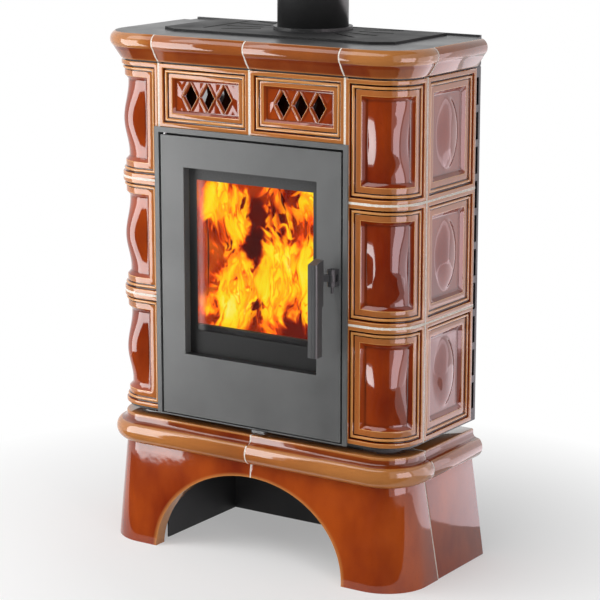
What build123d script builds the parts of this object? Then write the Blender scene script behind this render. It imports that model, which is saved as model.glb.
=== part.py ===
"""Tiled wood stove: glazed relief tiles round a steel stove body, on a flared base with an arched log store.

Millimetres, +Z up. The front faces -Y. The origin is on the floor, midway between the front of the
door handle and the back of the casing. "Depth" is a distance behind the front faces of the tiles.
"""
from build123d import *
from math import atan2, cos, degrees, radians, sin
import os

os.makedirs("parts", exist_ok=True)

# ---------------------------------------------------------------- driving dimensions
# Body of tiles
stove_depth = 322.0          # tile faces to the back of the casing
body_half_width = 365.0
body_bottom = 303.0
corner_radius = 76.0         # outside radius of the two front corners
corner_flat_count = 8        # narrow flats that make up a quarter round
swell_flat_count = 6         # flats that make up the height of a swelling
nose_flat_count = 7          # flats that make up a rounded nose
cove_flat_count = 3
tile_height = 247.0
tile_thickness = 36.0
tile_joint = 3.0             # width of every grouted joint
grout_depth = 18.0
corner_tile_width = 135.0    # side of the stove to the joint between a corner tile and a vent tile
side_joint_depth = 95.0      # joint between a corner tile and a side tile
tile_run_depth = 293.0       # back edge of the side tiles
row_names = ("lower", "middle", "upper")

# Relief of the tiles: widths inwards from the tile's edge, depths below its outer rail
rail_width = 9.0
bead_inset = 12.5
bead_width = 6.0
frame_width = 37.0
groove_depth = 7.0
bead_depth = 3.0
field_depth = 14.0
barrel_crest_depth = 1.0
barrel_margin = 7.0          # flat field round the swelling
barrel_flat_count = 7        # flats of the corner that the swelling covers
almond_height = 146.0
almond_radius = 62.0
almond_flat_count = 3        # flats on each side of its middle

# Vent tiles over the door
vent_height = 132.0
vent_frame_width = 34.0
vent_panel_depth = 12.0
diamond_width = 31.0
diamond_height = 50.0
diamond_pitch = 43.0
diamond_bevel = 5.0          # depth of the splayed rim
diamond_splay = 35.0         # degrees

# Base with its arched log store
base_height = 220.0
base_flare = 20.5            # how far the foot stands out from the top of the base
base_thickness = 30.0
base_depth = 301.5           # at its top
base_joint_depth = 99.0      # side joint, at its top
base_joint_lean = 28.0       # how much further back that joint is on the floor
arch_side_width = 127.0      # side of the stove to the foot of the arch
arch_height = 190.0

# Ledge round the top of the base
ledge_height = 63.0
ledge_thickness = 40.0       # behind the tile faces
ledge_nose_radius = 26.0
ledge_nose_reach = 24.0      # furthest point of the nose ahead of the tile faces
ledge_nose_rise = 25.0       # middle of the nose above the base
ledge_nose_start = -106.0    # degrees, where the nose leaves the base
ledge_nose_arc = 117.0       # degrees
ledge_cove_radius = 10.7
ledge_lip_reach = 1.0
ledge_lip_height = 11.0

# Cornice and top
top_frame_thickness = 4.0
top_frame_inset = 8.0        # edge of the top frame behind the tile faces
top_opening_side = 66.0      # side of the stove to the opening in the top frame
top_opening_front_depth = 50.0
top_opening_back_depth = 316.0
rear_closing_sheet = 1.5     # turned up under the back of the top plate
cornice_height = 57.0        # up to the top surface of the top plate
cornice_thickness = 38.0
cornice_nose_radius = 19.0
cornice_nose_reach = 24.0
cornice_nose_turn = 47.0     # degrees that the nose turns in below its middle
cornice_cove_radius = 78.0
cornice_foot_reach = 1.0
top_plate_thickness = 6.0
top_plate_reach = 12.0       # edge of the plate ahead of the tile faces
rear_lip_height = 4.0
rear_lip_width = 5.0
grille_side = 80.0           # side of the stove to the grille
grille_front_depth = 72.0
grille_back_depth = 306.0
grille_thickness = 5.0
grille_corner_x = 44.0
grille_corner_y = 27.0
grille_slot_width = 9.0
grille_slot_length = 84.0
grille_slot_radius = 152.0   # flue centre to the middle of a slot
grille_slot_step = 17.0      # degrees between slots
grille_slot_turn = 6.0       # degrees by which each fan of slots is turned to the front
grille_slot_count = 4        # on each side of the flue
grille_panel_inset = 80.0    # side of the grille to its sunk panel
grille_panel_front_depth = 124.0
grille_panel_sink = 1.0
convection_inner_x = 100.0
convection_inset = 70.0      # side of the grille to the openings under it
convection_front_depth = 135.0
convection_back_depth = 300.0

# Flue
flue_depth = 238.0
flue_bore_radius = 75.0
flue_wall = 1.0
flue_length = 78.0
collar_bore_radius = 70.5
collar_wall = 4.0
collar_flange_radius = 84.0
collar_flange_thickness = 6.0
collar_clearance = 1.0

# Stand and casing
stand_sheet = 3.0
stand_plate_thickness = 6.0
stand_plate_inset = 7.0
stand_overlap = 23.0         # stand past the joints beside the vent tiles
stand_front_depth = 42.0
casing_sheet = 1.5
casing_flange = 18.0         # turned in behind the side tiles
casing_gap = 2.0             # side tiles to the casing behind them
casing_slot_height = 57.0
casing_slot_width = 12.0
casing_slot_pitch = 72.0
casing_slot_count = 10

# Door frame
frame_overlap = 10.0         # frame past the joints beside the vent tiles
frame_strip = 10.8
frame_reach = 4.0            # front of the frame ahead of the tile faces
frame_wall = 2.0
frame_bottom = 297.0
sill_thickness = 2.5
stop_depth = 22.0            # sealing face of the frame
stop_thickness = 4.0
stop_clearance = 3.0         # glass clips to the stop
stop_bottom_lap = 13.0       # door over the stop
stop_top_lap = 17.0

# Door
door_gap = 5.2
door_bottom_gap = 2.5
door_reach = 3.0
door_sheet = 4.0
door_fold = 3.0              # edges and back sheet of the hollow door
door_thickness = 20.0        # front face to the back sheet's rear face
window_side_margin = 58.0    # door's edge to the window
window_bottom_margin = 135.0
window_top_margin = 65.0
reveal_wall = 3.0
glass_thickness = 4.0
glass_overlap = 13.0
rope_width = 8.0
rope_inset = 4.5             # door's edge to the rope seal
seal_clearance = 0.3         # rope seal to the frame it closes on
clip_width = 24.0
clip_thickness = 2.0
clip_overlap = 8.0
clip_foot = 16.0
clip_clearance = 2.0
clip_offset = 140.0          # clips above and below the middle of the window

# Hinge and latch
hinge_inset = 6.5            # hinge axis from the door's left edge
hinge_setback = 8.0          # hinge axis behind the door's front face
hinge_pin_radius = 3.5
hinge_clearance = 0.05
hinge_pin_tail = 2.0         # pin past the knuckle
knuckle_radius = 6.0
knuckle_length = 22.0
handle_pivot_inset = 13.0    # pivot axis from the door's right edge
handle_pivot_reach = 15.0    # pivot axis ahead of the tile faces
handle_level = 647.5         # middle of the latch arm
pivot_pin_radius = 3.0
pivot_clearance = 0.05
bracket_radius = 9.0         # pivot to the sides and front of its bracket
bracket_plate = 3.0
bracket_ear = 10.0
arm_height = 14.0
arm_clearance = 0.5
arm_radius = 8.0
arm_width = 13.0             # where it meets the grip
pin_tail = 14.0
pin_head = 2.0
tongue_width = 8.0
hook_depth = 3.0             # front of the hook
hook_thickness = 6.0
hook_clearance = 1.0
slot_clearance = 1.5
slot_swing = 14.0            # room beside the tongue for its turn
catch_width = 2.2
catch_thickness = 4.0
grip_offset = 32.0           # pivot axis to the left side of the grip
grip_width = 20.0
grip_reach = 55.0            # front of the grip ahead of the tile faces
grip_thickness = 22.0
grip_shoulder = 5.0          # extra thickness of the grip's upper part
grip_bottom = 486.0
grip_length = 200.0
grip_shoulder_length = 96.0
grip_round = 6.0
grip_groove = 1.2
grip_slant = 8.0             # drop of the slanted top from back to front

# Firebox and what it holds
firebox_overlap = 5.0        # firebox past the door frame
firebox_front_depth = 40.0
firebox_back_depth = 318.0
firebox_top = 1000.0
firebox_sheet = 4.0
firebox_opening_inset = 23.0
firebox_opening_top = 900.0
firebox_floor_rise = 8.0     # floor plate above the stand
floor_opening_inner_x = 135.0
floor_opening_inset = 30.0
floor_opening_length = 60.0
hearth_level = 414.0
brick_thickness = 30.0
brick_top = 870.0
hearth_brick_thickness = 22.0
baffle_thickness = 25.0
baffle_front_depth = 110.0
grate_half_width = 100.0
grate_front_depth = 100.0
grate_back_depth = 230.0
grate_thickness = 16.0
grate_slot_pitch = 20.0
grate_slot_width = 9.0
grate_slot_count = 9
grate_border = 15.0
grate_clearance = 2.0
grate_bearing = 6.0          # how far the grate overlaps the hearth plate
retainer_depth = 48.0
retainer_thickness = 9.0
retainer_height = 56.0
retainer_slot_width = 12.0
retainer_slot_count = 9
deflector_bottom = 812.0
deflector_top = 930.0
deflector_lip = 20.0
deflector_sheet = 2.0
brick_clearance = 1.0

# Ash pan
pan_half_width = 120.0
pan_front_depth = 42.0
pan_back_depth = 250.0
pan_height = 60.0
pan_wall = 1.5
pan_clearance = 0.4
pan_pull_half_width = 40.0
pan_pull_reach = 10.0
pan_pull_drop = 25.0         # pull below the rim of the pan
pan_pull_thickness = 3.0

# Air slider
slider_thickness = 3.0
slider_clearance = 1.0
slider_tab_left = 11.0
slider_tab_width = 31.0
slider_tab_height = 5.5
slider_reach = 12.0
slider_travel = 42.0
shutter_front_depth = 62.0
shutter_back_depth = 100.0
shutter_left = -60.0
shutter_right = 100.0
air_inlet_x = 60.0
air_inlet_width = 40.0
air_inlet_depth = 24.0
guide_clearance = 0.5
guide_lip = 6.0
guide_sheet = 2.5
guide_clip_left = -16.0
guide_clip_right = 88.0
guide_clip_width = 12.0

cut_margin = 1.0             # cutters past the faces that they cut

# ---------------------------------------------------------------- places that follow
tile_face = -(stove_depth - grip_reach) / 2
casing_back = tile_face + stove_depth
casing_x = body_half_width - stand_plate_inset
corner_x = body_half_width - corner_radius
corner_y = tile_face + corner_radius
front_joint_x = body_half_width - corner_tile_width
arch_half_width = body_half_width - arch_side_width
half_joint = tile_joint / 2
row_pitch = tile_height + tile_joint
body_top = body_bottom + len(row_names) * row_pitch - tile_joint
vent_bottom = body_top - vent_height
side_joint_y = tile_face + side_joint_depth
tiles_back = tile_face + tile_run_depth
ledge_top = base_height + ledge_height
base_back = tile_face + base_depth
base_joint_y = tile_face + base_joint_depth
cornice_bottom = body_top + top_frame_thickness
plate_top = cornice_bottom + cornice_height
plate_bottom = plate_top - top_plate_thickness
grille_half_width = body_half_width - grille_side
grille_panel_half_width = grille_half_width - grille_panel_inset
flue_y = tile_face + flue_depth
grille_top = plate_top + grille_thickness
flue_bottom = grille_top + collar_flange_thickness
flue_top = flue_bottom + flue_length
collar_radius = collar_bore_radius + collar_wall
stand_plate_bottom = body_bottom - stand_plate_thickness
frame_half_width = front_joint_x + frame_overlap
stand_half_width = front_joint_x + stand_overlap
frame_inner_x = frame_half_width - frame_strip
frame_inner_top = vent_bottom - frame_strip
frame_wall_x = frame_inner_x + frame_wall
sill_top = frame_bottom + sill_thickness
frame_front = tile_face - frame_reach
frame_back = tile_face + firebox_front_depth
stop_front = tile_face + stop_depth
door_half_width = frame_inner_x - door_gap
door_bottom = sill_top + door_bottom_gap
door_top = frame_inner_top - door_gap
door_front = tile_face - door_reach
door_inside = door_front + door_sheet
door_back = door_front + door_thickness
back_sheet = door_back - door_fold
window_half_width = door_half_width - window_side_margin
window_bottom = door_bottom + window_bottom_margin
window_top = door_top - window_top_margin
window_middle = (window_bottom + window_top) / 2
glass_x = window_half_width + glass_overlap
foot_x = glass_x + clip_clearance
glass_back = door_back + glass_thickness
hinge_x = -door_half_width + hinge_inset
hinge_y = door_front + hinge_setback
handle_pivot_x = door_half_width - handle_pivot_inset
pivot_y = tile_face - handle_pivot_reach
arm_bottom = handle_level - arm_height / 2
arm_top = handle_level + arm_height / 2
slot_bottom = arm_bottom - arm_clearance
slot_top = arm_top + arm_clearance
bracket_bottom = slot_bottom - bracket_ear
bracket_top = slot_top + bracket_ear
grip_left = handle_pivot_x - grip_offset
grip_back = tile_face - grip_reach + grip_thickness
grip_top = grip_bottom + grip_length
firebox_front = tile_face + firebox_front_depth
firebox_back = tile_face + firebox_back_depth
firebox_half_width = frame_half_width + firebox_overlap
firebox_inner_x = firebox_half_width - firebox_sheet
firebox_inner_back = firebox_back - firebox_sheet
brick_face_x = firebox_inner_x - brick_thickness
brick_face_y = firebox_inner_back - brick_thickness
hearth_top = hearth_level + hearth_brick_thickness
slider_top = stand_plate_bottom - slider_clearance
slider_bottom = slider_top - slider_thickness
shutter_y = (tile_face + shutter_front_depth, tile_face + shutter_back_depth)
inlet_y = sum(shutter_y) / 2


# ---------------------------------------------------------------- helpers
def save(piece, name):
    """Write one finished piece as its own file."""
    piece.label = name
    export_step(piece, f"parts/{name}.step")


def save_pair(piece, name, row=""):
    """Write a right-hand piece and its mirror image on the left."""
    save(piece, f"{name}_right{row}")
    with BuildPart() as twin:
        mirror(piece, about=Plane.YZ)
    save(twin.part, f"{name}_left{row}")


def block(x, y, z, mode=Mode.ADD):
    """A box given by its limits along X, Y and Z."""
    with Locations((x[0], y[0], z[0])):
        Box(x[1] - x[0], y[1] - y[0], z[1] - z[0], align=(Align.MIN, Align.MIN, Align.MIN), mode=mode)


def rod(x, y, z, radius, mode=Mode.ADD):
    """An upright cylinder at X, Y between two heights."""
    with Locations((x, y, z[0])):
        Cylinder(radius, z[1] - z[0], align=(Align.CENTER, Align.CENTER, Align.MIN), mode=mode)


def flat_points(arc, flats):
    """Points along an arc, for the narrow flats that stand in for it."""
    return [arc @ (step / flats) for step in range(flats + 1)]


def corner_points(radius):
    """Points round the right front corner, from the front to the side."""
    return flat_points(CenterArc((corner_x, corner_y), radius, -90, 90, mode=Mode.PRIVATE), corner_flat_count)


def corner_band(level, start_x, end_y, outer, inner):
    """Plan of a band round the right front corner, between two depths below the tile faces."""
    with BuildSketch(Plane.XY.offset(level)) as band:
        with BuildLine():
            Polyline(
                (0, tile_face + outer),
                *corner_points(corner_radius - outer),
                (body_half_width - outer, casing_back),
                (body_half_width - inner, casing_back),
                *reversed(corner_points(corner_radius - inner)),
                (0, tile_face + inner),
                close=True,
            )
        make_face()
        with Locations((start_x, end_y)):
            Rectangle(body_half_width, stove_depth, align=(Align.MIN, Align.MAX), mode=Mode.INTERSECT)
    return band.sketch


def stove_plan(level, reach, back):
    """Plan of the whole stove with round front corners, standing out past the tile faces by reach."""
    with BuildSketch(Plane.XY.offset(level)) as plan:
        with BuildLine():
            edge = Polyline((0, tile_face - reach), *corner_points(corner_radius + reach))
            Polyline(edge @ 1, (body_half_width + reach, back), (0, back), edge @ 0)
        make_face()
        mirror(about=Plane.YZ)
    return plan.sketch


def run_along_front(section, start_x, end_x):
    """Run a section along the front."""
    extrude(section(Plane.YZ.offset(start_x)), amount=end_x - start_x)


def run_along_side(section, start_y, end_y):
    """Run a section, drawn as on the front, along the right side."""
    across_side = Plane((body_half_width + tile_face, start_y, 0), x_dir=(-1, 0, 0), z_dir=(0, 1, 0))
    extrude(section(across_side), amount=end_y - start_y)


def run_round_corner(section, start_x, flats, *side_end):
    """Run a section along the front, round the flats of the right corner and on to a point of the side."""
    with BuildLine() as route:
        Polyline((start_x, tile_face), *corner_points(corner_radius)[: flats + 1], *side_end)
    sweep(section(Plane.YZ.offset(start_x)), path=route.line, transition=Transition.RIGHT)


# ---------------------------------------------------------------- base tiles
base_joint_normal = (0, base_height, base_joint_lean)
flare_angle = degrees(atan2(base_flare, base_height))
base_joint_plane = Plane((0, base_joint_y, base_height), x_dir=(1, 0, 0), z_dir=base_joint_normal)

with BuildPart() as base:
    outside = stove_plan(0, base_flare, base_back + base_flare)
    extrude(outside, amount=base_height, taper=flare_angle)
    inside = stove_plan(0, base_flare - base_thickness, casing_back + base_flare)
    extrude(inside, amount=base_height, taper=flare_angle, mode=Mode.SUBTRACT)
    with BuildSketch(Plane.XZ.offset(-tile_face - base_thickness - cut_margin)):
        Ellipse(arch_half_width, arch_height)
    extrude(amount=base_thickness + base_flare + 2 * cut_margin, mode=Mode.SUBTRACT)

with BuildPart() as base_front:
    add(base.part)
    split(bisect_by=Plane.YZ.offset(half_joint), keep=Keep.TOP)
    split(bisect_by=base_joint_plane.offset(-half_joint), keep=Keep.BOTTOM)
save_pair(base_front.part, "base_tile_front")

with BuildPart() as base_side:
    add(base.part)
    split(bisect_by=Plane.YZ, keep=Keep.TOP)
    split(bisect_by=base_joint_plane.offset(half_joint), keep=Keep.TOP)
save_pair(base_side.part, "base_tile_side")


# ---------------------------------------------------------------- ledge tiles
def ledge_section(plane):
    """Section of the ledge: a round nose that runs back in a cove to an upright lip."""
    nose_y = tile_face - ledge_nose_reach + ledge_nose_radius
    back = tile_face + ledge_thickness
    lip_y = tile_face - ledge_lip_reach
    with BuildSketch(plane) as section:
        with BuildLine():
            nose_centre = (nose_y, base_height + ledge_nose_rise)
            nose = CenterArc(
                nose_centre, ledge_nose_radius, ledge_nose_start, -ledge_nose_arc, mode=Mode.PRIVATE
            )
            lip = (lip_y, ledge_top - ledge_lip_height)
            cove = RadiusArc(nose @ 1, lip, -ledge_cove_radius, mode=Mode.PRIVATE)
            Polyline(
                *flat_points(nose, nose_flat_count),
                *flat_points(cove, cove_flat_count)[1:],
                (lip_y, ledge_top),
                (back, ledge_top),
                (back, base_height),
                ((nose @ 0).X, base_height),
                close=True,
            )
        make_face()
    return section.sketch


with BuildPart() as ledge_front:
    ledge_end = (body_half_width, base_joint_y - half_joint)
    run_round_corner(ledge_section, half_joint, corner_flat_count, ledge_end)
save_pair(ledge_front.part, "ledge_tile_front")

with BuildPart() as ledge_side:
    run_along_side(ledge_section, base_joint_y + half_joint, base_back)
save_pair(ledge_side.part, "ledge_tile_side")


# ---------------------------------------------------------------- relief tiles
def swell_points(edge, crest, low, high):
    """Points up the section of a swelling, from its edge over its crest and back."""
    arc = ThreePointArc((edge, low), (crest, (low + high) / 2), (edge, high), mode=Mode.PRIVATE)
    return flat_points(arc, swell_flat_count)


def barrel_section(bottom):
    """Section of the swelling field of a corner tile."""
    low = bottom + frame_width + barrel_margin
    high = bottom + tile_height - frame_width - barrel_margin
    root = tile_face + field_depth + 1

    def barrel(plane):
        with BuildSketch(plane) as section:
            with BuildLine():
                swell = swell_points(tile_face + field_depth, tile_face + barrel_crest_depth, low, high)
                Polyline(*swell, (root, high), (root, low), close=True)
            make_face()
        return section.sketch

    return barrel


def corner_tile(bottom):
    """Tile that wraps the front corner: stepped mouldings round a field that swells like a barrel."""
    start_x = front_joint_x + half_joint
    end_y = side_joint_y - half_joint

    def step(inset, outer, inner, mode):
        band = corner_band(bottom + inset, start_x + inset, end_y - inset, outer, inner)
        extrude(band, amount=tile_height - 2 * inset, mode=mode)

    with BuildPart() as tile:
        step(0, 0, tile_thickness, Mode.ADD)
        step(rail_width, -1, groove_depth, Mode.SUBTRACT)
        step(bead_inset, bead_depth, groove_depth, Mode.ADD)
        step(bead_inset + bead_width, -1, groove_depth, Mode.SUBTRACT)
        step(frame_width, -1, field_depth, Mode.SUBTRACT)
        run_round_corner(barrel_section(bottom), start_x + frame_width + barrel_margin, barrel_flat_count)
    return tile.part


def flat_tile(face, width, height, frame, depth):
    """Flat tile on a plane at its rail level: the same mouldings round a sunk field."""

    def step(inset, outer, inner, mode):
        with BuildSketch(face.offset(-outer)) as field:
            Rectangle(width - 2 * inset, height - 2 * inset)
        extrude(field.sketch, amount=outer - inner, mode=mode)

    step(0, 0, tile_thickness, Mode.ADD)
    step(rail_width, -1, groove_depth, Mode.SUBTRACT)
    step(bead_inset, bead_depth, groove_depth, Mode.ADD)
    step(bead_inset + bead_width, -1, groove_depth, Mode.SUBTRACT)
    step(frame, -1, depth, Mode.SUBTRACT)


def side_tile(bottom):
    """Side tile: stepped mouldings round a field with an almond-shaped swelling."""
    middle_y = (side_joint_y + half_joint + tiles_back) / 2
    middle_z = bottom + tile_height / 2
    face = Plane((body_half_width, middle_y, middle_z), x_dir=(0, 1, 0), z_dir=(1, 0, 0))
    field_x = body_half_width - field_depth
    crest_x = body_half_width - barrel_crest_depth
    with BuildLine() as route:
        turn = CenterArc((crest_x - almond_radius, middle_y), almond_radius, 0, 45, mode=Mode.PRIVATE)
        Polyline(*flat_points(turn, almond_flat_count))
    with BuildPart() as tile:
        flat_tile(face, tiles_back - side_joint_y - half_joint, tile_height, frame_width, field_depth)
        with BuildSketch(Plane.XZ.offset(-middle_y)):
            with BuildLine():
                low = middle_z - almond_height / 2
                Polyline(*swell_points(field_x, crest_x, low, low + almond_height), close=True)
            make_face()
        sweep(path=route.line, transition=Transition.RIGHT)
        mirror(about=Plane.XZ.offset(-middle_y))
    return tile.part


for row, row_name in enumerate(row_names):
    row_bottom = body_bottom + row * row_pitch
    save_pair(corner_tile(row_bottom), "corner_tile", f"_{row_name}")
    save_pair(side_tile(row_bottom), "side_tile", f"_{row_name}")

vent_width = front_joint_x - tile_joint
vent_middle_z = vent_bottom + vent_height / 2
vent_plane = Plane((front_joint_x / 2, tile_face, vent_middle_z), x_dir=(1, 0, 0), z_dir=(0, -1, 0))
with BuildPart() as vent_tile:
    flat_tile(vent_plane, vent_width, vent_height, vent_frame_width, vent_panel_depth)
    for step in (-1, 0, 1):
        middle = (front_joint_x / 2 + step * diamond_pitch, tile_face + vent_panel_depth, vent_middle_z)
        panel = Plane(middle, x_dir=(1, 0, 0), z_dir=(0, -1, 0))
        with BuildSketch(panel.offset(-diamond_bevel)) as throat:
            Polygon(
                (diamond_width / 2, 0),
                (0, diamond_height / 2),
                (-diamond_width / 2, 0),
                (0, -diamond_height / 2),
            )
        extrude(throat.sketch, amount=diamond_bevel, taper=-diamond_splay, mode=Mode.SUBTRACT)
        extrude(throat.sketch, amount=-tile_thickness, mode=Mode.SUBTRACT)
save_pair(vent_tile.part, "vent_tile")


# ---------------------------------------------------------------- cornice
def cornice_section(plane):
    """Section of the cornice: a cove under a round nose that ends at the edge of the top plate."""
    nose_y = tile_face - cornice_nose_reach + cornice_nose_radius
    back = tile_face + cornice_thickness
    foot = (tile_face - cornice_foot_reach, cornice_bottom)
    edge_y = tile_face - top_plate_reach
    nose_z = plate_top - (cornice_nose_radius**2 - (edge_y - nose_y) ** 2) ** 0.5
    turn = radians(cornice_nose_turn)
    with BuildSketch(plane) as section:
        with BuildLine():
            nose = ThreePointArc(
                (nose_y - cornice_nose_radius * cos(turn), nose_z - cornice_nose_radius * sin(turn)),
                (nose_y - cornice_nose_radius, nose_z),
                (edge_y, plate_top),
                mode=Mode.PRIVATE,
            )
            cove = RadiusArc(foot, nose @ 0, cornice_cove_radius, mode=Mode.PRIVATE)
            Polyline(
                *flat_points(cove, cove_flat_count),
                *flat_points(nose, nose_flat_count)[1:],
                (edge_y, plate_bottom),
                (back, plate_bottom),
                (back, cornice_bottom),
                close=True,
            )
        make_face()
    return section.sketch


with BuildPart() as cornice_front:
    run_along_front(cornice_section, half_joint, front_joint_x - half_joint)
save_pair(cornice_front.part, "cornice_tile_front")

with BuildPart() as cornice_corner:
    cornice_end = (body_half_width, side_joint_y - half_joint)
    run_round_corner(cornice_section, front_joint_x + half_joint, corner_flat_count, cornice_end)
save_pair(cornice_corner.part, "cornice_tile_corner")

with BuildPart() as cornice_side:
    run_along_side(cornice_section, side_joint_y + half_joint, tiles_back)
save_pair(cornice_side.part, "cornice_tile_side")


# ---------------------------------------------------------------- grout
with BuildPart() as base_grout:
    add(base.part)
    with BuildSketch(Plane.YZ.offset(-half_joint)):
        with Locations((base_joint_y, base_height / 2)):
            Rectangle(3 * stove_depth, base_height)
    extrude(amount=tile_joint, mode=Mode.INTERSECT)
with BuildPart() as side_grout:
    add(base.part)
    split(bisect_by=base_joint_plane.offset(-half_joint), keep=Keep.TOP)
    split(bisect_by=base_joint_plane.offset(half_joint), keep=Keep.BOTTOM)
with BuildPart() as ledge_grout:
    run_along_front(ledge_section, -half_joint, half_joint)
    run_along_side(ledge_section, base_joint_y - half_joint, base_joint_y + half_joint)
    mirror(about=Plane.YZ)
with BuildPart() as lower_grout:
    add(base_grout.part)
    add(side_grout.part)
    add(ledge_grout.part)
save(lower_grout.part, "base_grout")

with BuildPart() as body_grout:
    for row in (1, 2):
        level = body_bottom + row * row_pitch - tile_joint
        seam = corner_band(level, front_joint_x + half_joint, tiles_back, half_joint, grout_depth)
        extrude(seam, amount=tile_joint)
    grout_x = (body_half_width - grout_depth, body_half_width - half_joint)
    grout_y = (tile_face + half_joint, tile_face + grout_depth)
    block(grout_x, (side_joint_y - half_joint, side_joint_y + half_joint), (body_bottom, body_top))
    block((front_joint_x - half_joint, front_joint_x + half_joint), grout_y, (vent_bottom, body_top))
    mirror(about=Plane.YZ)
    block((-half_joint, half_joint), grout_y, (vent_bottom, body_top))
save(body_grout.part, "body_grout")

with BuildPart() as cornice_grout:
    for joint_x in (0, front_joint_x):
        run_along_front(cornice_section, joint_x - half_joint, joint_x + half_joint)
    run_along_side(cornice_section, side_joint_y - half_joint, side_joint_y + half_joint)
    mirror(about=Plane.YZ)
save(cornice_grout.part, "cornice_grout")


# ---------------------------------------------------------------- stand, casing and top
with BuildPart() as stand:
    extrude(stove_plan(stand_plate_bottom, -stand_plate_inset, casing_back), amount=stand_plate_thickness)
    plate_z = (stand_plate_bottom, body_bottom)
    block((-frame_wall_x, frame_wall_x), (tile_face, frame_back), plate_z, Mode.SUBTRACT)
    inlet_x = (air_inlet_x - air_inlet_width / 2, air_inlet_x + air_inlet_width / 2)
    block(inlet_x, (inlet_y - air_inlet_depth / 2, inlet_y + air_inlet_depth / 2), plate_z, Mode.SUBTRACT)
    stand_y = (tile_face + stand_front_depth, base_back)
    block((stand_half_width - stand_sheet, stand_half_width), stand_y, (0, stand_plate_bottom))
    block((-stand_half_width, -stand_half_width + stand_sheet), stand_y, (0, stand_plate_bottom))
    rear_panel_y = (base_back - stand_sheet, base_back)
    block((-stand_half_width, stand_half_width), rear_panel_y, (0, stand_plate_bottom))
    lip_top = slider_bottom - guide_clearance
    lip_z = (lip_top - guide_sheet, lip_top)
    web_z = (lip_top, stand_plate_bottom)
    rear_web = shutter_y[1] + guide_clearance
    rear_x = (shutter_left, shutter_right + slider_travel)
    block(rear_x, (rear_web, rear_web + guide_sheet), web_z)
    block(rear_x, (rear_web - guide_lip, rear_web + guide_sheet), lip_z)
    front_web = shutter_y[0] - guide_clearance
    for clip_left in (guide_clip_left, guide_clip_right):
        clip_x = (clip_left, clip_left + guide_clip_width)
        block(clip_x, (front_web - guide_sheet, front_web), web_z)
        block(clip_x, (front_web - guide_sheet, front_web + guide_lip), lip_z)
save(stand.part, "stand")

with BuildPart() as top_frame:
    extrude(stove_plan(body_top, -top_frame_inset, casing_back), amount=top_frame_thickness)
    opening_y = (tile_face + top_opening_front_depth, tile_face + top_opening_back_depth)
    top_opening_x = body_half_width - top_opening_side
    opening_x = (-top_opening_x, top_opening_x)
    block(opening_x, opening_y, (body_top, cornice_bottom), Mode.SUBTRACT)
    closing_y = (tiles_back, casing_back)
    closing_z = (cornice_bottom, plate_bottom)
    closed_x = casing_x - rear_closing_sheet
    block((-casing_x, casing_x), closing_y, closing_z)
    block((-closed_x, closed_x), (tiles_back, casing_back - rear_closing_sheet), closing_z, Mode.SUBTRACT)
save(top_frame.part, "top_frame")

with BuildPart() as rear_casing:
    casing_y = (tiles_back + casing_gap, casing_back)
    casing_z = (body_bottom, body_top)
    block((-casing_x, casing_x), casing_y, casing_z)
    inner_x = casing_x - casing_sheet
    inner_y = (casing_y[0] + casing_sheet, casing_back - casing_sheet)
    block((-inner_x, inner_x), inner_y, casing_z, Mode.SUBTRACT)
    flange_x = casing_x - casing_flange
    block((-flange_x, flange_x), (casing_y[0], casing_y[0] + casing_sheet), casing_z, Mode.SUBTRACT)
    with BuildSketch(Plane.YZ.offset(-casing_x)):
        with Locations((sum(casing_y) / 2, sum(casing_z) / 2)):
            with GridLocations(0, casing_slot_pitch, 1, casing_slot_count):
                Rectangle(casing_slot_width, casing_slot_height)
    extrude(amount=2 * casing_x, mode=Mode.SUBTRACT)
save(rear_casing.part, "rear_casing")

with BuildPart() as top_plate:
    extrude(stove_plan(plate_bottom, top_plate_reach, tiles_back), amount=top_plate_thickness)
    block((-casing_x, casing_x), (tiles_back, casing_back), (plate_bottom, plate_top))
    rod(0, flue_y, (plate_bottom, plate_top), collar_radius + collar_clearance, Mode.SUBTRACT)
    convection_y = (tile_face + convection_front_depth, tile_face + convection_back_depth)
    for side in (-1, 1):
        edges_x = sorted((side * convection_inner_x, side * (grille_half_width - convection_inset)))
        block(edges_x, convection_y, (plate_bottom, plate_top), Mode.SUBTRACT)
    lip_y = (casing_back - rear_lip_width, casing_back)
    lip_z = (plate_top, plate_top + rear_lip_height)
    block((-casing_x, casing_x), lip_y, lip_z)
    rod(0, flue_y, lip_z, collar_flange_radius + collar_clearance, Mode.SUBTRACT)
save(top_plate.part, "top_plate")

with BuildPart() as top_grille:
    grille_front = tile_face + grille_front_depth
    grille_back = tile_face + grille_back_depth
    with BuildSketch(Plane.XY.offset(plate_top)):
        Polygon(
            (-grille_half_width + grille_corner_x, grille_front),
            (grille_half_width - grille_corner_x, grille_front),
            (grille_half_width, grille_front + grille_corner_y),
            (grille_half_width, grille_back),
            (-grille_half_width, grille_back),
            (-grille_half_width, grille_front + grille_corner_y),
            align=None,
        )
    extrude(amount=grille_thickness)
    panel_x = (-grille_panel_half_width, grille_panel_half_width)
    panel_y = (tile_face + grille_panel_front_depth, grille_back)
    block(panel_x, panel_y, (grille_top - grille_panel_sink, grille_top), Mode.SUBTRACT)
    rod(0, flue_y, (plate_top, grille_top), collar_flange_radius)
    rod(0, flue_y, (plate_top, grille_top), collar_radius + collar_clearance, Mode.SUBTRACT)
    with BuildSketch(Plane.XY.offset(plate_top)):
        fan = (grille_slot_count - 1) * grille_slot_step / 2
        with Locations((0, flue_y)):
            first = -fan - grille_slot_turn
            with PolarLocations(grille_slot_radius, grille_slot_count, first, 2 * fan, endpoint=True):
                Rectangle(grille_slot_length, grille_slot_width)
        mirror(about=Plane.YZ)
    extrude(amount=grille_thickness, mode=Mode.SUBTRACT)
save(top_grille.part, "top_grille")

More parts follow.
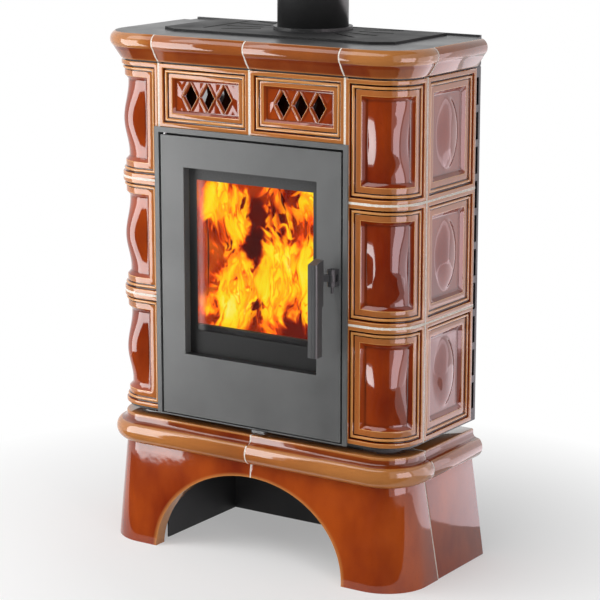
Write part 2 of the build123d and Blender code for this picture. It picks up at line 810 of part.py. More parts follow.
# ---------------------------------------------------------------- flue
with BuildPart() as flue_collar:
    rod(0, flue_y, (firebox_top, grille_top), collar_radius)
    with BuildSketch(Plane.XY.offset(grille_top)):
        with Locations((0, flue_y)):
            RegularPolygon(collar_flange_radius, 4 * corner_flat_count)
    extrude(amount=collar_flange_thickness)
    rod(0, flue_y, (firebox_top, flue_bottom), collar_bore_radius, Mode.SUBTRACT)
save(flue_collar.part, "flue_collar")

with BuildPart() as flue_pipe:
    rod(0, flue_y, (flue_bottom, flue_top), flue_bore_radius + flue_wall)
    rod(0, flue_y, (flue_bottom, flue_top), flue_bore_radius, Mode.SUBTRACT)
save(flue_pipe.part, "flue_pipe")

# ---------------------------------------------------------------- door frame
with BuildPart() as door_frame:
    frame_y = (frame_front, frame_back)
    frame_z = (frame_bottom, vent_bottom)
    block((-frame_half_width, frame_half_width), (frame_front, tile_face), frame_z)
    block((-frame_wall_x, frame_wall_x), frame_y, frame_z)
    door_way_x = (-frame_inner_x, frame_inner_x)
    block(door_way_x, frame_y, (sill_top, frame_inner_top), Mode.SUBTRACT)
    top_bar_back = tile_face + tile_thickness
    behind_bar = (top_bar_back, frame_back)
    block((-frame_wall_x, frame_wall_x), behind_bar, (frame_inner_top, vent_bottom), Mode.SUBTRACT)
    block(door_way_x, (stop_front, stop_front + stop_thickness), (sill_top, frame_inner_top))
    stop_x = foot_x + clip_foot + stop_clearance
    stop_z = (door_bottom + stop_bottom_lap, door_top - stop_top_lap)
    block((-stop_x, stop_x), (stop_front, stop_front + stop_thickness), stop_z, Mode.SUBTRACT)
save(door_frame.part, "door_frame")

with BuildPart() as latch_catch:
    catch_back = tile_face + hook_depth - hook_clearance
    catch_y = (catch_back - catch_thickness, catch_back)
    block((frame_inner_x - catch_width, frame_inner_x), catch_y, (slot_bottom, slot_top))
save(latch_catch.part, "latch_catch")

with BuildPart() as hinge_pins:
    lower_pin_top = door_bottom + knuckle_length + hinge_pin_tail
    upper_pin_bottom = door_top - knuckle_length - hinge_pin_tail
    rod(hinge_x, hinge_y, (sill_top, lower_pin_top), hinge_pin_radius)
    rod(hinge_x, hinge_y, (upper_pin_bottom, frame_inner_top), hinge_pin_radius)
save(hinge_pins.part, "hinge_pins")

# ---------------------------------------------------------------- door
with BuildPart() as door_panel:
    door_x = (-door_half_width, door_half_width)
    door_z = (door_bottom, door_top)
    block(door_x, (door_front, door_back), door_z)
    hollow_x = (door_x[0] + door_fold, door_x[1] - door_fold)
    hollow_y = (door_inside, back_sheet)
    block(hollow_x, hollow_y, (door_bottom + door_fold, door_top - door_fold), Mode.SUBTRACT)
    reveal_x = window_half_width + reveal_wall
    block((-reveal_x, reveal_x), hollow_y, (window_bottom - reveal_wall, window_top + reveal_wall))
    window_x = (-window_half_width, window_half_width)
    block(window_x, (door_front, door_back), (window_bottom, window_top), Mode.SUBTRACT)
    for knuckle_bottom in (door_bottom, door_top - knuckle_length):
        knuckle_z = (knuckle_bottom, knuckle_bottom + knuckle_length)
        rod(hinge_x, hinge_y, knuckle_z, knuckle_radius)
        rod(hinge_x, hinge_y, knuckle_z, hinge_pin_radius + hinge_clearance, Mode.SUBTRACT)
    slot_left = handle_pivot_x - tongue_width / 2 - slot_swing
    slot_right = handle_pivot_x + tongue_width / 2 + slot_clearance
    slot_z = (slot_bottom, slot_top)
    block((slot_left, slot_right), (door_front, door_inside), slot_z, Mode.SUBTRACT)
    block((hollow_x[1], door_x[1]), hollow_y, slot_z, Mode.SUBTRACT)
save(door_panel.part, "door_panel")

with BuildPart() as door_glass:
    glass_z = (window_bottom - glass_overlap, window_top + glass_overlap)
    block((-glass_x, glass_x), (door_back, glass_back), glass_z)
save(door_glass.part, "door_glass")

with BuildPart() as glass_clips:
    for clip_middle in (window_middle - clip_offset, window_middle + clip_offset):
        clip_z = (clip_middle - clip_width / 2, clip_middle + clip_width / 2)
        block((foot_x, foot_x + clip_foot), (door_back, glass_back), clip_z)
        block((glass_x - clip_overlap, foot_x + clip_foot), (glass_back, glass_back + clip_thickness), clip_z)
    mirror(about=Plane.YZ)
save(glass_clips.part, "glass_clips")

with BuildPart() as door_seals:
    with BuildSketch(Plane.XZ.offset(-stop_front + seal_clearance)):
        rope_x = 2 * (door_half_width - rope_inset)
        rope_z = door_top - door_bottom - 2 * rope_inset
        with Locations((0, (door_bottom + door_top) / 2)):
            Rectangle(rope_x, rope_z)
            Rectangle(rope_x - 2 * rope_width, rope_z - 2 * rope_width, mode=Mode.SUBTRACT)
    extrude(amount=stop_front - seal_clearance - door_back)
save(door_seals.part, "door_seals")

# ---------------------------------------------------------------- handle
with BuildPart() as handle_bracket:
    bracket_x = (handle_pivot_x - bracket_radius, handle_pivot_x + bracket_radius)
    bracket_z = (bracket_bottom, bracket_top)
    block(bracket_x, (pivot_y - bracket_radius, door_front), bracket_z)
    chamfer(handle_bracket.edges().filter_by(Axis.Z).group_by(Axis.Y)[0], bracket_radius / 2)
    rod(handle_pivot_x, pivot_y, bracket_z, pivot_pin_radius + pivot_clearance, Mode.SUBTRACT)
    front_gap = (pivot_y - bracket_radius, door_front - bracket_plate)
    block(bracket_x, front_gap, (slot_bottom, slot_top), Mode.SUBTRACT)
    plate_gap = (door_front - bracket_plate, door_front)
    block((bracket_x[0], slot_right), plate_gap, (slot_bottom, slot_top), Mode.SUBTRACT)
save(handle_bracket.part, "handle_bracket")

with BuildPart() as handle_pin:
    rod(handle_pivot_x, pivot_y, (bracket_bottom - pin_tail, bracket_top + pin_head), pivot_pin_radius)
save(handle_pin.part, "handle_pin")

with BuildPart() as handle_arm:
    arm_z = (arm_bottom, arm_top)
    grip_right = grip_left + grip_width
    grip_seat = grip_back + grip_shoulder
    rod(handle_pivot_x, pivot_y, arm_z, arm_radius)
    with BuildSketch(Plane.XY.offset(arm_bottom)):
        Polygon(
            (grip_right, grip_seat),
            (handle_pivot_x + arm_radius / 2, pivot_y - arm_radius / 2),
            (handle_pivot_x - arm_radius / 2, pivot_y + arm_radius / 2),
            (grip_right - arm_width, grip_seat),
            align=None,
        )
    extrude(amount=arm_height)
    tongue_x = (handle_pivot_x - tongue_width / 2, handle_pivot_x + tongue_width / 2)
    hook_y = (tile_face + hook_depth, tile_face + hook_depth + hook_thickness)
    hook_right = frame_inner_x - catch_width - hook_clearance
    block(tongue_x, (pivot_y, hook_y[1]), arm_z)
    block((handle_pivot_x, hook_right), hook_y, arm_z)
    rod(handle_pivot_x, pivot_y, arm_z, pivot_pin_radius + pivot_clearance, Mode.SUBTRACT)
save(handle_arm.part, "handle_arm")

with BuildPart() as handle_grip:
    grip_x = (grip_left, grip_left + grip_width)
    grip_front = tile_face - grip_reach
    block(grip_x, (grip_front, grip_back), (grip_bottom, grip_top))
    block(grip_x, (grip_back, grip_back + grip_shoulder), (grip_top - grip_shoulder_length, grip_top))
    outer_edges = handle_grip.edges().filter_by(Axis.Z).group_by(Axis.X)[-1]
    fillet(outer_edges.group_by(Axis.Y)[0], grip_round)
    groove_x = (grip_x[0] + grip_width / 2 - grip_groove / 2, grip_x[0] + grip_width / 2 + grip_groove / 2)
    block(groove_x, (grip_front, grip_front + grip_groove), (grip_bottom, grip_top), Mode.SUBTRACT)
    with BuildSketch(Plane.YZ.offset(grip_left)):
        Polygon(
            (grip_front, grip_top - grip_slant),
            (grip_seat, grip_top),
            (grip_front, grip_top),
            align=None,
        )
    extrude(amount=grip_width, mode=Mode.SUBTRACT)
save(handle_grip.part, "handle_grip")

# ---------------------------------------------------------------- firebox
with BuildPart() as firebox:
    walls_x = (-firebox_half_width, firebox_half_width)
    inside_x = (-firebox_inner_x, firebox_inner_x)
    walls_y = (firebox_front, firebox_back)
    inside_y = (firebox_front + firebox_sheet, firebox_inner_back)
    floor_bottom = body_bottom + firebox_floor_rise
    floor_top = floor_bottom + firebox_sheet
    block(walls_x, walls_y, (body_bottom, firebox_top))
    block(inside_x, inside_y, (body_bottom, floor_bottom), Mode.SUBTRACT)
    block(inside_x, inside_y, (floor_top, hearth_level - firebox_sheet), Mode.SUBTRACT)
    block(inside_x, inside_y, (hearth_level, firebox_top - firebox_sheet), Mode.SUBTRACT)
    mouth_x = (firebox_opening_inset - firebox_half_width, firebox_half_width - firebox_opening_inset)
    mouth_y = (firebox_front, firebox_front + firebox_sheet)
    block(mouth_x, mouth_y, (floor_top, hearth_level - firebox_sheet), Mode.SUBTRACT)
    block(mouth_x, mouth_y, (hearth_level, firebox_opening_top), Mode.SUBTRACT)
    drop_x = (-grate_half_width + grate_bearing, grate_half_width - grate_bearing)
    grate_y = (tile_face + grate_front_depth, tile_face + grate_back_depth)
    drop_y = (grate_y[0] + grate_bearing, grate_y[1] - grate_bearing)
    block(drop_x, drop_y, (hearth_level - firebox_sheet, hearth_level), Mode.SUBTRACT)
    air_y = (inlet_y - floor_opening_length / 2, inlet_y + floor_opening_length / 2)
    for side in (-1, 1):
        air_x = sorted((side * floor_opening_inner_x, side * (firebox_half_width - floor_opening_inset)))
        block(air_x, air_y, (floor_bottom, floor_top), Mode.SUBTRACT)
    rod(0, flue_y, (firebox_top - firebox_sheet, firebox_top), collar_bore_radius, Mode.SUBTRACT)
save(firebox.part, "firebox")

with BuildPart() as firebrick_right:
    block((brick_face_x, firebox_inner_x), inside_y, (hearth_level, brick_top))
save_pair(firebrick_right.part, "firebrick")

lining_x = brick_face_x - brick_clearance
with BuildPart() as firebrick_back:
    block((-lining_x, lining_x), (brick_face_y, firebox_inner_back), (hearth_level, brick_top))
save(firebrick_back.part, "firebrick_back")

with BuildPart() as hearth_brick:
    hearth_y = (inside_y[0], brick_face_y - brick_clearance)
    block((-lining_x, lining_x), hearth_y, (hearth_level, hearth_top))
    well_x = grate_half_width + grate_clearance
    well_y = (grate_y[0] - grate_clearance, grate_y[1] + grate_clearance)
    block((-well_x, well_x), well_y, (hearth_level, hearth_top), Mode.SUBTRACT)
save(hearth_brick.part, "hearth_brick")

with BuildPart() as baffle_plate:
    baffle_x = firebox_inner_x - brick_clearance
    baffle_y = (tile_face + baffle_front_depth, firebox_inner_back - brick_clearance)
    block((-baffle_x, baffle_x), baffle_y, (brick_top, brick_top + baffle_thickness))
save(baffle_plate.part, "baffle_plate")

with BuildPart() as grate:
    block((-grate_half_width, grate_half_width), grate_y, (hearth_level, hearth_level + grate_thickness))
    with BuildSketch(Plane.XY.offset(hearth_level)):
        with Locations((0, sum(grate_y) / 2)):
            with GridLocations(grate_slot_pitch, 0, grate_slot_count, 1):
                Rectangle(grate_slot_width, grate_y[1] - grate_y[0] - 2 * grate_border)
    extrude(amount=grate_thickness, mode=Mode.SUBTRACT)
save(grate.part, "grate")

with BuildPart() as log_retainer:
    retainer_y = (tile_face + retainer_depth, tile_face + retainer_depth + retainer_thickness)
    block((-lining_x, lining_x), retainer_y, (hearth_top, hearth_top + retainer_height))
    with BuildSketch(Plane.XZ.offset(-retainer_y[0])):
        with Locations((0, hearth_top + retainer_height / 2)):
            with GridLocations(2 * lining_x / (retainer_slot_count + 1), 0, retainer_slot_count, 1):
                Rectangle(retainer_slot_width, retainer_height / 2)
    extrude(amount=-retainer_thickness, mode=Mode.SUBTRACT)
save(log_retainer.part, "log_retainer")

with BuildPart() as air_deflector:
    deflector_y = (inside_y[0], inside_y[0] + deflector_sheet)
    block((-lining_x, lining_x), deflector_y, (deflector_bottom, deflector_top))
    lip_y = (inside_y[0], inside_y[0] + deflector_lip)
    block((-lining_x, lining_x), lip_y, (deflector_bottom, deflector_bottom + deflector_sheet))
save(air_deflector.part, "air_deflector")

# ---------------------------------------------------------------- ash pan and air slider
with BuildPart() as ash_pan:
    pan_x = (-pan_half_width, pan_half_width)
    pan_y = (tile_face + pan_front_depth, tile_face + pan_back_depth)
    pan_z = (floor_top + pan_clearance, floor_top + pan_clearance + pan_height)
    block(pan_x, pan_y, pan_z)
    ash_x = (pan_x[0] + pan_wall, pan_x[1] - pan_wall)
    block(ash_x, (pan_y[0] + pan_wall, pan_y[1] - pan_wall), (pan_z[0] + pan_wall, pan_z[1]), Mode.SUBTRACT)
    pull_top = pan_z[1] - pan_pull_drop
    pull_x = (-pan_pull_half_width, pan_pull_half_width)
    block(pull_x, (pan_y[0] - pan_pull_reach, pan_y[0]), (pull_top - pan_pull_thickness, pull_top))
save(ash_pan.part, "ash_pan")

with BuildPart() as air_slider:
    block((shutter_left, shutter_right), shutter_y, (slider_bottom, slider_top))
    port_x = (inlet_x[0] - slider_travel, inlet_x[1] - slider_travel)
    port_y = (inlet_y - air_inlet_depth / 2, inlet_y + air_inlet_depth / 2)
    block(port_x, port_y, (slider_bottom, slider_top), Mode.SUBTRACT)
    tab_x = (slider_tab_left, slider_tab_left + slider_tab_width)
    tab_front = tile_face - slider_reach
    block(tab_x, (tab_front, shutter_y[0]), (slider_bottom, slider_top))
    tab_z = (slider_bottom, slider_bottom + slider_tab_height)
    block(tab_x, (tab_front, tab_front + slider_thickness), tab_z)
save(air_slider.part, "air_slider")
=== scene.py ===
from itertools import product
from math import cos, pi, radians, sin, sqrt

import bmesh
import bpy
from bmesh.types import BMEdge, BMVert
from bpy.props import FloatProperty, FloatVectorProperty, PointerProperty
from mathutils import Matrix, Vector


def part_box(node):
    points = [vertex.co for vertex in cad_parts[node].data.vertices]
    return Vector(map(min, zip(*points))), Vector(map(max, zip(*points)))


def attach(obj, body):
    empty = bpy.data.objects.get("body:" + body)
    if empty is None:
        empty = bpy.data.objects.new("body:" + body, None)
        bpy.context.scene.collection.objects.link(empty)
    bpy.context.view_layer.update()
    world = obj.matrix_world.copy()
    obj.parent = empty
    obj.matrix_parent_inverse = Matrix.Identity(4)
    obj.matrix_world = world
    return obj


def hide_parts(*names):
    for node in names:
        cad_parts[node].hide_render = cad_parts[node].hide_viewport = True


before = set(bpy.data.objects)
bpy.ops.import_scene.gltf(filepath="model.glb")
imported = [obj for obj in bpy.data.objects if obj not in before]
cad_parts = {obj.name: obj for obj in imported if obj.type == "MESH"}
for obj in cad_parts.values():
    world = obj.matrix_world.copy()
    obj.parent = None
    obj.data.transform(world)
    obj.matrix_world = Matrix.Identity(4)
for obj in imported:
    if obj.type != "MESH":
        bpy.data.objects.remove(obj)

bl_info = {
    "name": "Tiled stove",
    "version": (1, 0, 0),
    "blender": (4, 5, 0),
    "location": "View3D > Sidebar > Tiled stove",
    "description": "Dresses the tiled stove with glazed relief tiles, ironwork, fire and a studio",
    "category": "Object",
}

ROWS = ("lower", "middle", "upper")
TILE_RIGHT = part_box("side_tile_right_upper")[1].x
TILE_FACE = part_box("corner_tile_right_lower")[0].y
TILE_THICKNESS = 0.036
RELIEF_DEPTH = 0.020
WINDOW_HALF_WIDTH = 0.1656
WINDOW_HALF_HEIGHT = 0.2006
FIRE_TOP = 0.868
TOUCHING = 1e-6


# ---- settings
def length(name, description, default):
    return FloatProperty(name=name, description=description, default=default, unit="LENGTH", precision=4)


def tint(name, description, default):
    return FloatVectorProperty(
        name=name, description=description, default=default, subtype="COLOR", size=3, min=0.0, max=1.0
    )


class StoveSizes(bpy.types.PropertyGroup):
    corner_radius: length("Corner radius", "Outside radius of the two front corners", 0.076)
    edge_round: length("Edge rounding", "Rounding of a tile's outer edge", 0.0018)
    rail_width: length("Rail width", "Outermost flat of a relief tile", 0.009)
    groove_depth: length("Groove depth", "Depth of the grooves beside the bead", 0.007)
    bead_radius: length("Bead radius", "Round bead inside the rail", 0.003)
    band_width: length("Band width", "Flat band inside the bead", 0.013)
    slope_width: length("Slope width", "Slope from the band down to the field", 0.009)
    field_depth: length("Field depth", "Depth of the field below the rail", 0.014)
    swell: length("Swelling", "Height of a swelling above its field", 0.013)
    barrel_end: length("Barrel end", "Length over which a barrel rises at its ends", 0.048)
    almond_height: length("Almond height", "Height of the swelling of a side tile", 0.150)
    almond_width: length("Almond width", "Width of that swelling", 0.090)
    vent_band: length("Vent band", "Flat band round the panel of a vent tile", 0.009)
    vent_slope: length("Vent slope", "Slope down to the panel of a vent tile", 0.006)
    diamond_width: length("Diamond width", "Width of a diamond vent", 0.031)
    diamond_height: length("Diamond height", "Height of a diamond vent", 0.050)
    diamond_pitch: length("Diamond pitch", "Distance between two diamond vents", 0.043)
    arch_half_width: length("Arch half width", "Half the width of the log store", 0.238)
    arch_height: length("Arch height", "Height of the log store", 0.190)
    flare: length("Flare", "How far the foot stands out from the top of the base", 0.0205)
    base_thickness: length("Base thickness", "Thickness of the base tiles", 0.030)


class StoveColours(bpy.types.PropertyGroup):
    glaze_deep: tint("Deep glaze", "Glaze pooled in the grooves", (0.020, 0.004, 0.001))
    glaze_body: tint("Glaze", "Glaze on the flats", (0.185, 0.015, 0.001))
    glaze_warm: tint("Warm glaze", "Lighter clouds in the glaze", (0.360, 0.052, 0.004))
    glaze_thin: tint("Thin glaze", "Glaze drawn thin over the edges", (0.620, 0.270, 0.075))
    smooth_body: tint("Smooth glaze", "Glaze on the base", (0.190, 0.015, 0.002))
    smooth_warm: tint("Smooth warm glaze", "Lighter clouds in that glaze", (0.430, 0.070, 0.006))
    moulding_body: tint("Moulding glaze", "Glaze on the ledge and the cornice", (0.175, 0.018, 0.002))
    moulding_warm: tint("Warm moulding glaze", "Lighter clouds in that glaze", (0.310, 0.060, 0.006))
    grout: tint("Grout", "Grout in the joints", (0.920, 0.850, 0.760))
    door: tint("Door", "Paint of the door and its frame", (0.104, 0.106, 0.106))
    top: tint("Top", "Paint of the top plate", (0.045, 0.045, 0.047))
    iron: tint("Iron", "Cast iron and flue", (0.045, 0.045, 0.046))


# ---- meshes
def new_object(name, bm, material):
    """Turn a finished mesh into an object with a material."""
    mesh = bpy.data.meshes.new(name)
    bm.to_mesh(mesh)
    bm.free()
    mesh.materials.append(material)
    thing = bpy.data.objects.new(name, mesh)
    bpy.context.scene.collection.objects.link(thing)
    return thing


def finish_piece(name, bm, material, body="stove", nodes=(), smooth=True):
    """Make a piece of a finished mesh, let it ride on a body and stand for its CAD nodes."""
    piece = new_object(name, bm, material)
    piece.data.polygons.foreach_set("use_smooth", [smooth] * len(piece.data.polygons))
    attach(piece, body)
    if nodes:
        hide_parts(*nodes)
    return piece


def finish_pair(name, node, bm, material):
    """Finish a glazed piece of the right and its mirror image; a star in the names stands for the side."""
    pieces = []
    for side, mesh in (("left", mirrored(bm)), ("right", bm)):
        nodes = (node.replace("*", side),)
        pieces.append(finish_piece(name.replace("*", side), mesh, material, nodes=nodes))
    return pieces


def finish_rows(kind, bm):
    """Finish a relief tile of the lowest row on both sides, and its copies in the rows above."""
    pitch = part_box(f"{kind}_tile_right_middle")[0].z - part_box(f"{kind}_tile_right_lower")[0].z
    for row, row_name in enumerate(ROWS):
        tile = bm.copy()
        move(tile, (0, 0, row * pitch))
        finish_pair(f"{kind}_relief_*_{row_name}", f"{kind}_tile_*_{row_name}", tile, glaze_material())
    bm.free()


def round_edges(piece, width, segments=3):
    bevel = piece.modifiers.new("Round edges", "BEVEL")
    bevel.width = width
    bevel.segments = segments
    bevel.limit_method = "ANGLE"
    bevel.angle_limit = radians(50)


def only(kind, geometry):
    """The vertices or the edges of what an operator gives back."""
    return [part for part in geometry if isinstance(part, kind)]


def move(bm, offset):
    bmesh.ops.translate(bm, vec=offset, verts=bm.verts)


def clean(bm):
    """Merge what touches, and turn all faces outwards."""
    bmesh.ops.remove_doubles(bm, verts=bm.verts, dist=TOUCHING)
    bmesh.ops.recalc_face_normals(bm, faces=bm.faces)


def mirrored(bm):
    """A copy of a mesh, mirrored to the left."""
    twin = bm.copy()
    bmesh.ops.scale(twin, vec=(-1, 1, 1), verts=twin.verts)
    bmesh.ops.reverse_faces(twin, faces=twin.faces)
    return twin


def cut(bm, point, normal, clear=False):
    """Cut a mesh by a plane, and drop what lies beyond it if asked."""
    geom = bm.verts[:] + bm.edges[:] + bm.faces[:]
    result = bmesh.ops.bisect_plane(
        bm, geom=geom, dist=TOUCHING, plane_co=point, plane_no=normal, clear_outer=clear
    )
    if clear:
        bmesh.ops.contextual_create(bm, geom=only(BMEdge, result["geom_cut"]))


def upright_sheet(half_width, half_height, middle, segments=1, sideways=False):
    """A flat sheet that stands across Y, or across X if it is turned sideways."""
    bm = bmesh.new()
    bmesh.ops.create_grid(bm, x_segments=segments, y_segments=segments, size=1)
    bmesh.ops.scale(bm, vec=(half_width, half_height, 1), verts=bm.verts)
    for axis in ("X", "Z") if sideways else ("X",):
        turn = Matrix.Rotation(radians(90), 3, axis)
        bmesh.ops.rotate(bm, cent=(0, 0, 0), matrix=turn, verts=bm.verts)
    move(bm, middle)
    return bm


class Pen:
    """Draws the outline of a section on a plane across X, with extruded and spun points."""

    def __init__(self, bm, x, y, z):
        self.bm = bm
        self.tip = bm.verts.new((x, y, z))

    def line(self, y, z):
        new = bmesh.ops.extrude_vert_indiv(self.bm, verts=[self.tip])["verts"][0]
        new.co = (self.tip.co.x, y, z)
        self.tip = new

    def arc(self, centre_y, centre_z, turn, steps):
        """Turn about a centre, in degrees, positive from +Y towards +Z."""
        centre = (self.tip.co.x, centre_y, centre_z)
        result = bmesh.ops.spin(
            self.bm, geom=[self.tip], cent=centre, axis=(1, 0, 0), angle=radians(turn), steps=steps
        )
        self.tip = only(BMVert, result["geom_last"])[0]

    def curve(self, pull, end, steps):
        """Bend towards a pulling point on the way to an end, both given on Y and Z."""
        start = (self.tip.co.y, self.tip.co.z)
        for i in range(1, steps + 1):
            t = i / steps
            old, bend, new = (1 - t) ** 2, 2 * t * (1 - t), t * t
            self.line(*(old * a + bend * b + new * c for a, b, c in zip(start, pull, end)))


def outline_edges(bm):
    """Close a drawn outline, and give its edges."""
    bmesh.ops.remove_doubles(bm, verts=bm.verts, dist=TOUCHING)
    return bm.edges[:]


def sweep_straight(bm, edges, offset):
    """Extrude a section, and give the edges of its far end."""
    new = bmesh.ops.extrude_edge_only(bm, edges=edges)["geom"]
    bmesh.ops.translate(bm, vec=offset, verts=only(BMVert, new))
    return only(BMEdge, new)


def sweep_corner(bm, edges, radius, steps=20):
    """Turn a section round the right front corner, and give the edges of its far end."""
    centre = (TILE_RIGHT - radius, TILE_FACE + radius, 0)
    verts = list(dict.fromkeys(v for e in edges for v in e.verts))
    result = bmesh.ops.spin(
        bm, geom=verts + edges, cent=centre, axis=(0, 0, 1), angle=radians(90), steps=steps
    )
    return only(BMEdge, result["geom_last"])


def close_ends(bm, *ends):
    """Fill both ends of a swept section."""
    for end in ends:
        bmesh.ops.contextual_create(bm, geom=end)
    clean(bm)
    return bm


def front_run(draw, start, radius, end_x=None, end_y=None):
    """Sweep a drawn section along the front to an X, or round the right corner to a Y."""
    bm = bmesh.new()
    draw(bm, start)
    edges = outline_edges(bm)
    if end_y is None:
        return close_ends(bm, edges, sweep_straight(bm, edges, (end_x - start, 0, 0)))
    along = sweep_straight(bm, edges, (TILE_RIGHT - radius - start, 0, 0))
    turned = sweep_corner(bm, along, radius)
    return close_ends(bm, edges, sweep_straight(bm, turned, (0, end_y - TILE_FACE - radius, 0)))


def side_run(draw, node):
    """Sweep a drawn section along the right side, as far as a CAD node goes."""
    low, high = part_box(node)
    bm = bmesh.new()
    draw(bm, 0)
    edges = outline_edges(bm)
    bmesh.ops.transform(bm, matrix=Matrix.Rotation(radians(90), 4, "Z"), verts=bm.verts)
    move(bm, (TILE_RIGHT + TILE_FACE, low.y, 0))
    return close_ends(bm, edges, sweep_straight(bm, edges, (0, high.y - low.y, 0)))


# ---- relief
def arc_profile(centre, radius, start, end, steps):
    """Points of a profile round a centre: distance from the tile's edge, and height above its rail."""
    turns = [radians(start + (end - start) * i / steps) for i in range(steps + 1)]
    return [(centre[0] + radius * cos(a), centre[1] + radius * sin(a)) for a in turns]


def tile_profile(sizes, band_width, slope_width):
    """Profile from a tile's edge to its field: rail, groove, bead, groove, band and slope."""
    outer_groove, inner_groove = 0.0035, 0.0022
    outer_fillet, inner_fillet = 0.0015, 0.0006
    rail_to_fillet = 0.0020
    band_lip, band_shoulder = 0.0008, 0.0020
    slope_foot = ((0.003, 0.0012), (0.001, 0.0002), (0.0, 0.0))
    edge = sizes.edge_round
    rail = sizes.rail_width
    bead = sizes.bead_radius
    groove = -sizes.groove_depth
    bead_middle = rail + outer_groove + bead
    band = groove + band_lip
    band_start = bead_middle + bead + inner_groove
    band_end = band_start + band_width
    slope_end = band_end + slope_width
    profile = arc_profile((edge, -edge), edge, 180, 90, 4)
    profile += arc_profile((rail - edge, -edge), edge, 90, 0, 4)
    profile += arc_profile((rail + rail_to_fillet, groove + outer_fillet), outer_fillet, 180, 270, 3)
    profile += arc_profile((bead_middle, groove + outer_fillet), bead, 180, 0, 8)
    inner_start = bead_middle + bead + band_lip
    profile += arc_profile((inner_start, groove + inner_fillet), inner_fillet, 180, 270, 2)
    profile += arc_profile((band_start + band_lip, band - band_lip), band_lip, 180, 90, 3)
    profile += arc_profile((band_end - band_shoulder, band - band_shoulder), band_shoulder, 90, 30, 4)
    profile += [(slope_end - before, above - sizes.field_depth) for before, above in slope_foot]
    return profile


def relief_slab(width, height, profile):
    """Slab from X 0 to a width and Z 0 to a height, with a moulded face at Y 0 that looks to -Y."""
    bm = bmesh.new()
    bmesh.ops.create_cube(bm, size=1)
    start = -profile[0][1]
    bmesh.ops.scale(bm, vec=(width, TILE_THICKNESS - start, height), verts=bm.verts)
    move(bm, (width / 2, (TILE_THICKNESS + start) / 2, height / 2))
    face = min(bm.faces, key=lambda f: f.calc_center_median().y)
    for here, there in zip(profile, profile[1:]):
        inwards = max(there[0] - here[0], TOUCHING)
        bmesh.ops.inset_region(
            bm, faces=[face], thickness=inwards, depth=there[1] - here[1], use_even_offset=True
        )
    return bm


def field_verts(bm, width, height, margin, clearance=0.0):
    """The vertices on a slab's face that lie inside its moulded border."""
    for v in bm.verts:
        inside = min(v.co.x, width - v.co.x, v.co.z, height - v.co.z) - margin
        if inside > clearance and v.co.y < RELIEF_DEPTH:
            yield v


def grid_cuts(bm, axis, start, end, step):
    """Cut a mesh across an axis into strips of about a step."""
    count = max(1, round((end - start) / step))
    normal = Vector((0, 0, 0))
    normal[axis] = 1
    for i in range(1, count):
        point = Vector((0, 0, 0))
        point[axis] = start + (end - start) * i / count
        cut(bm, point, normal)


def swelling_tile(sizes, width, height, step_across, step_up):
    """A relief slab with a field that is cut finely enough to swell, and the width of its border."""
    profile = tile_profile(sizes, sizes.band_width, sizes.slope_width)
    margin = profile[-1][0]
    bm = relief_slab(width, height, profile)
    grid_cuts(bm, 0, margin, width - margin, step_across)
    grid_cuts(bm, 2, margin, height - margin, step_up)
    return bm, margin


def smooth_step(t):
    t = min(max(t, 0.0), 1.0)
    return t * t * (3 - 2 * t)


def mark_ridges(bm, passes=3):
    """Store where the surface is a ridge (1) or a groove (0), which thins or pools the glaze."""
    flat, per_bend = 0.5, 0.0012
    layer = bm.verts.layers.float.new("ridge")
    bm.normal_update()
    for v in bm.verts:
        bend = sum(e.calc_face_angle_signed(0.0) * e.calc_length() for e in v.link_edges) / 2
        area = sum(f.calc_area() for f in v.link_faces) / 4 + 1e-9
        v[layer] = min(max(flat + per_bend * bend / area, 0.0), 1.0)
    for _ in range(passes):
        means = []
        for v in bm.verts:
            around = sum(e.other_vert(v)[layer] for e in v.link_edges) / max(len(v.link_edges), 1)
            means.append((v[layer] + around) / 2)
        for v, mean in zip(bm.verts, means):
            v[layer] = mean


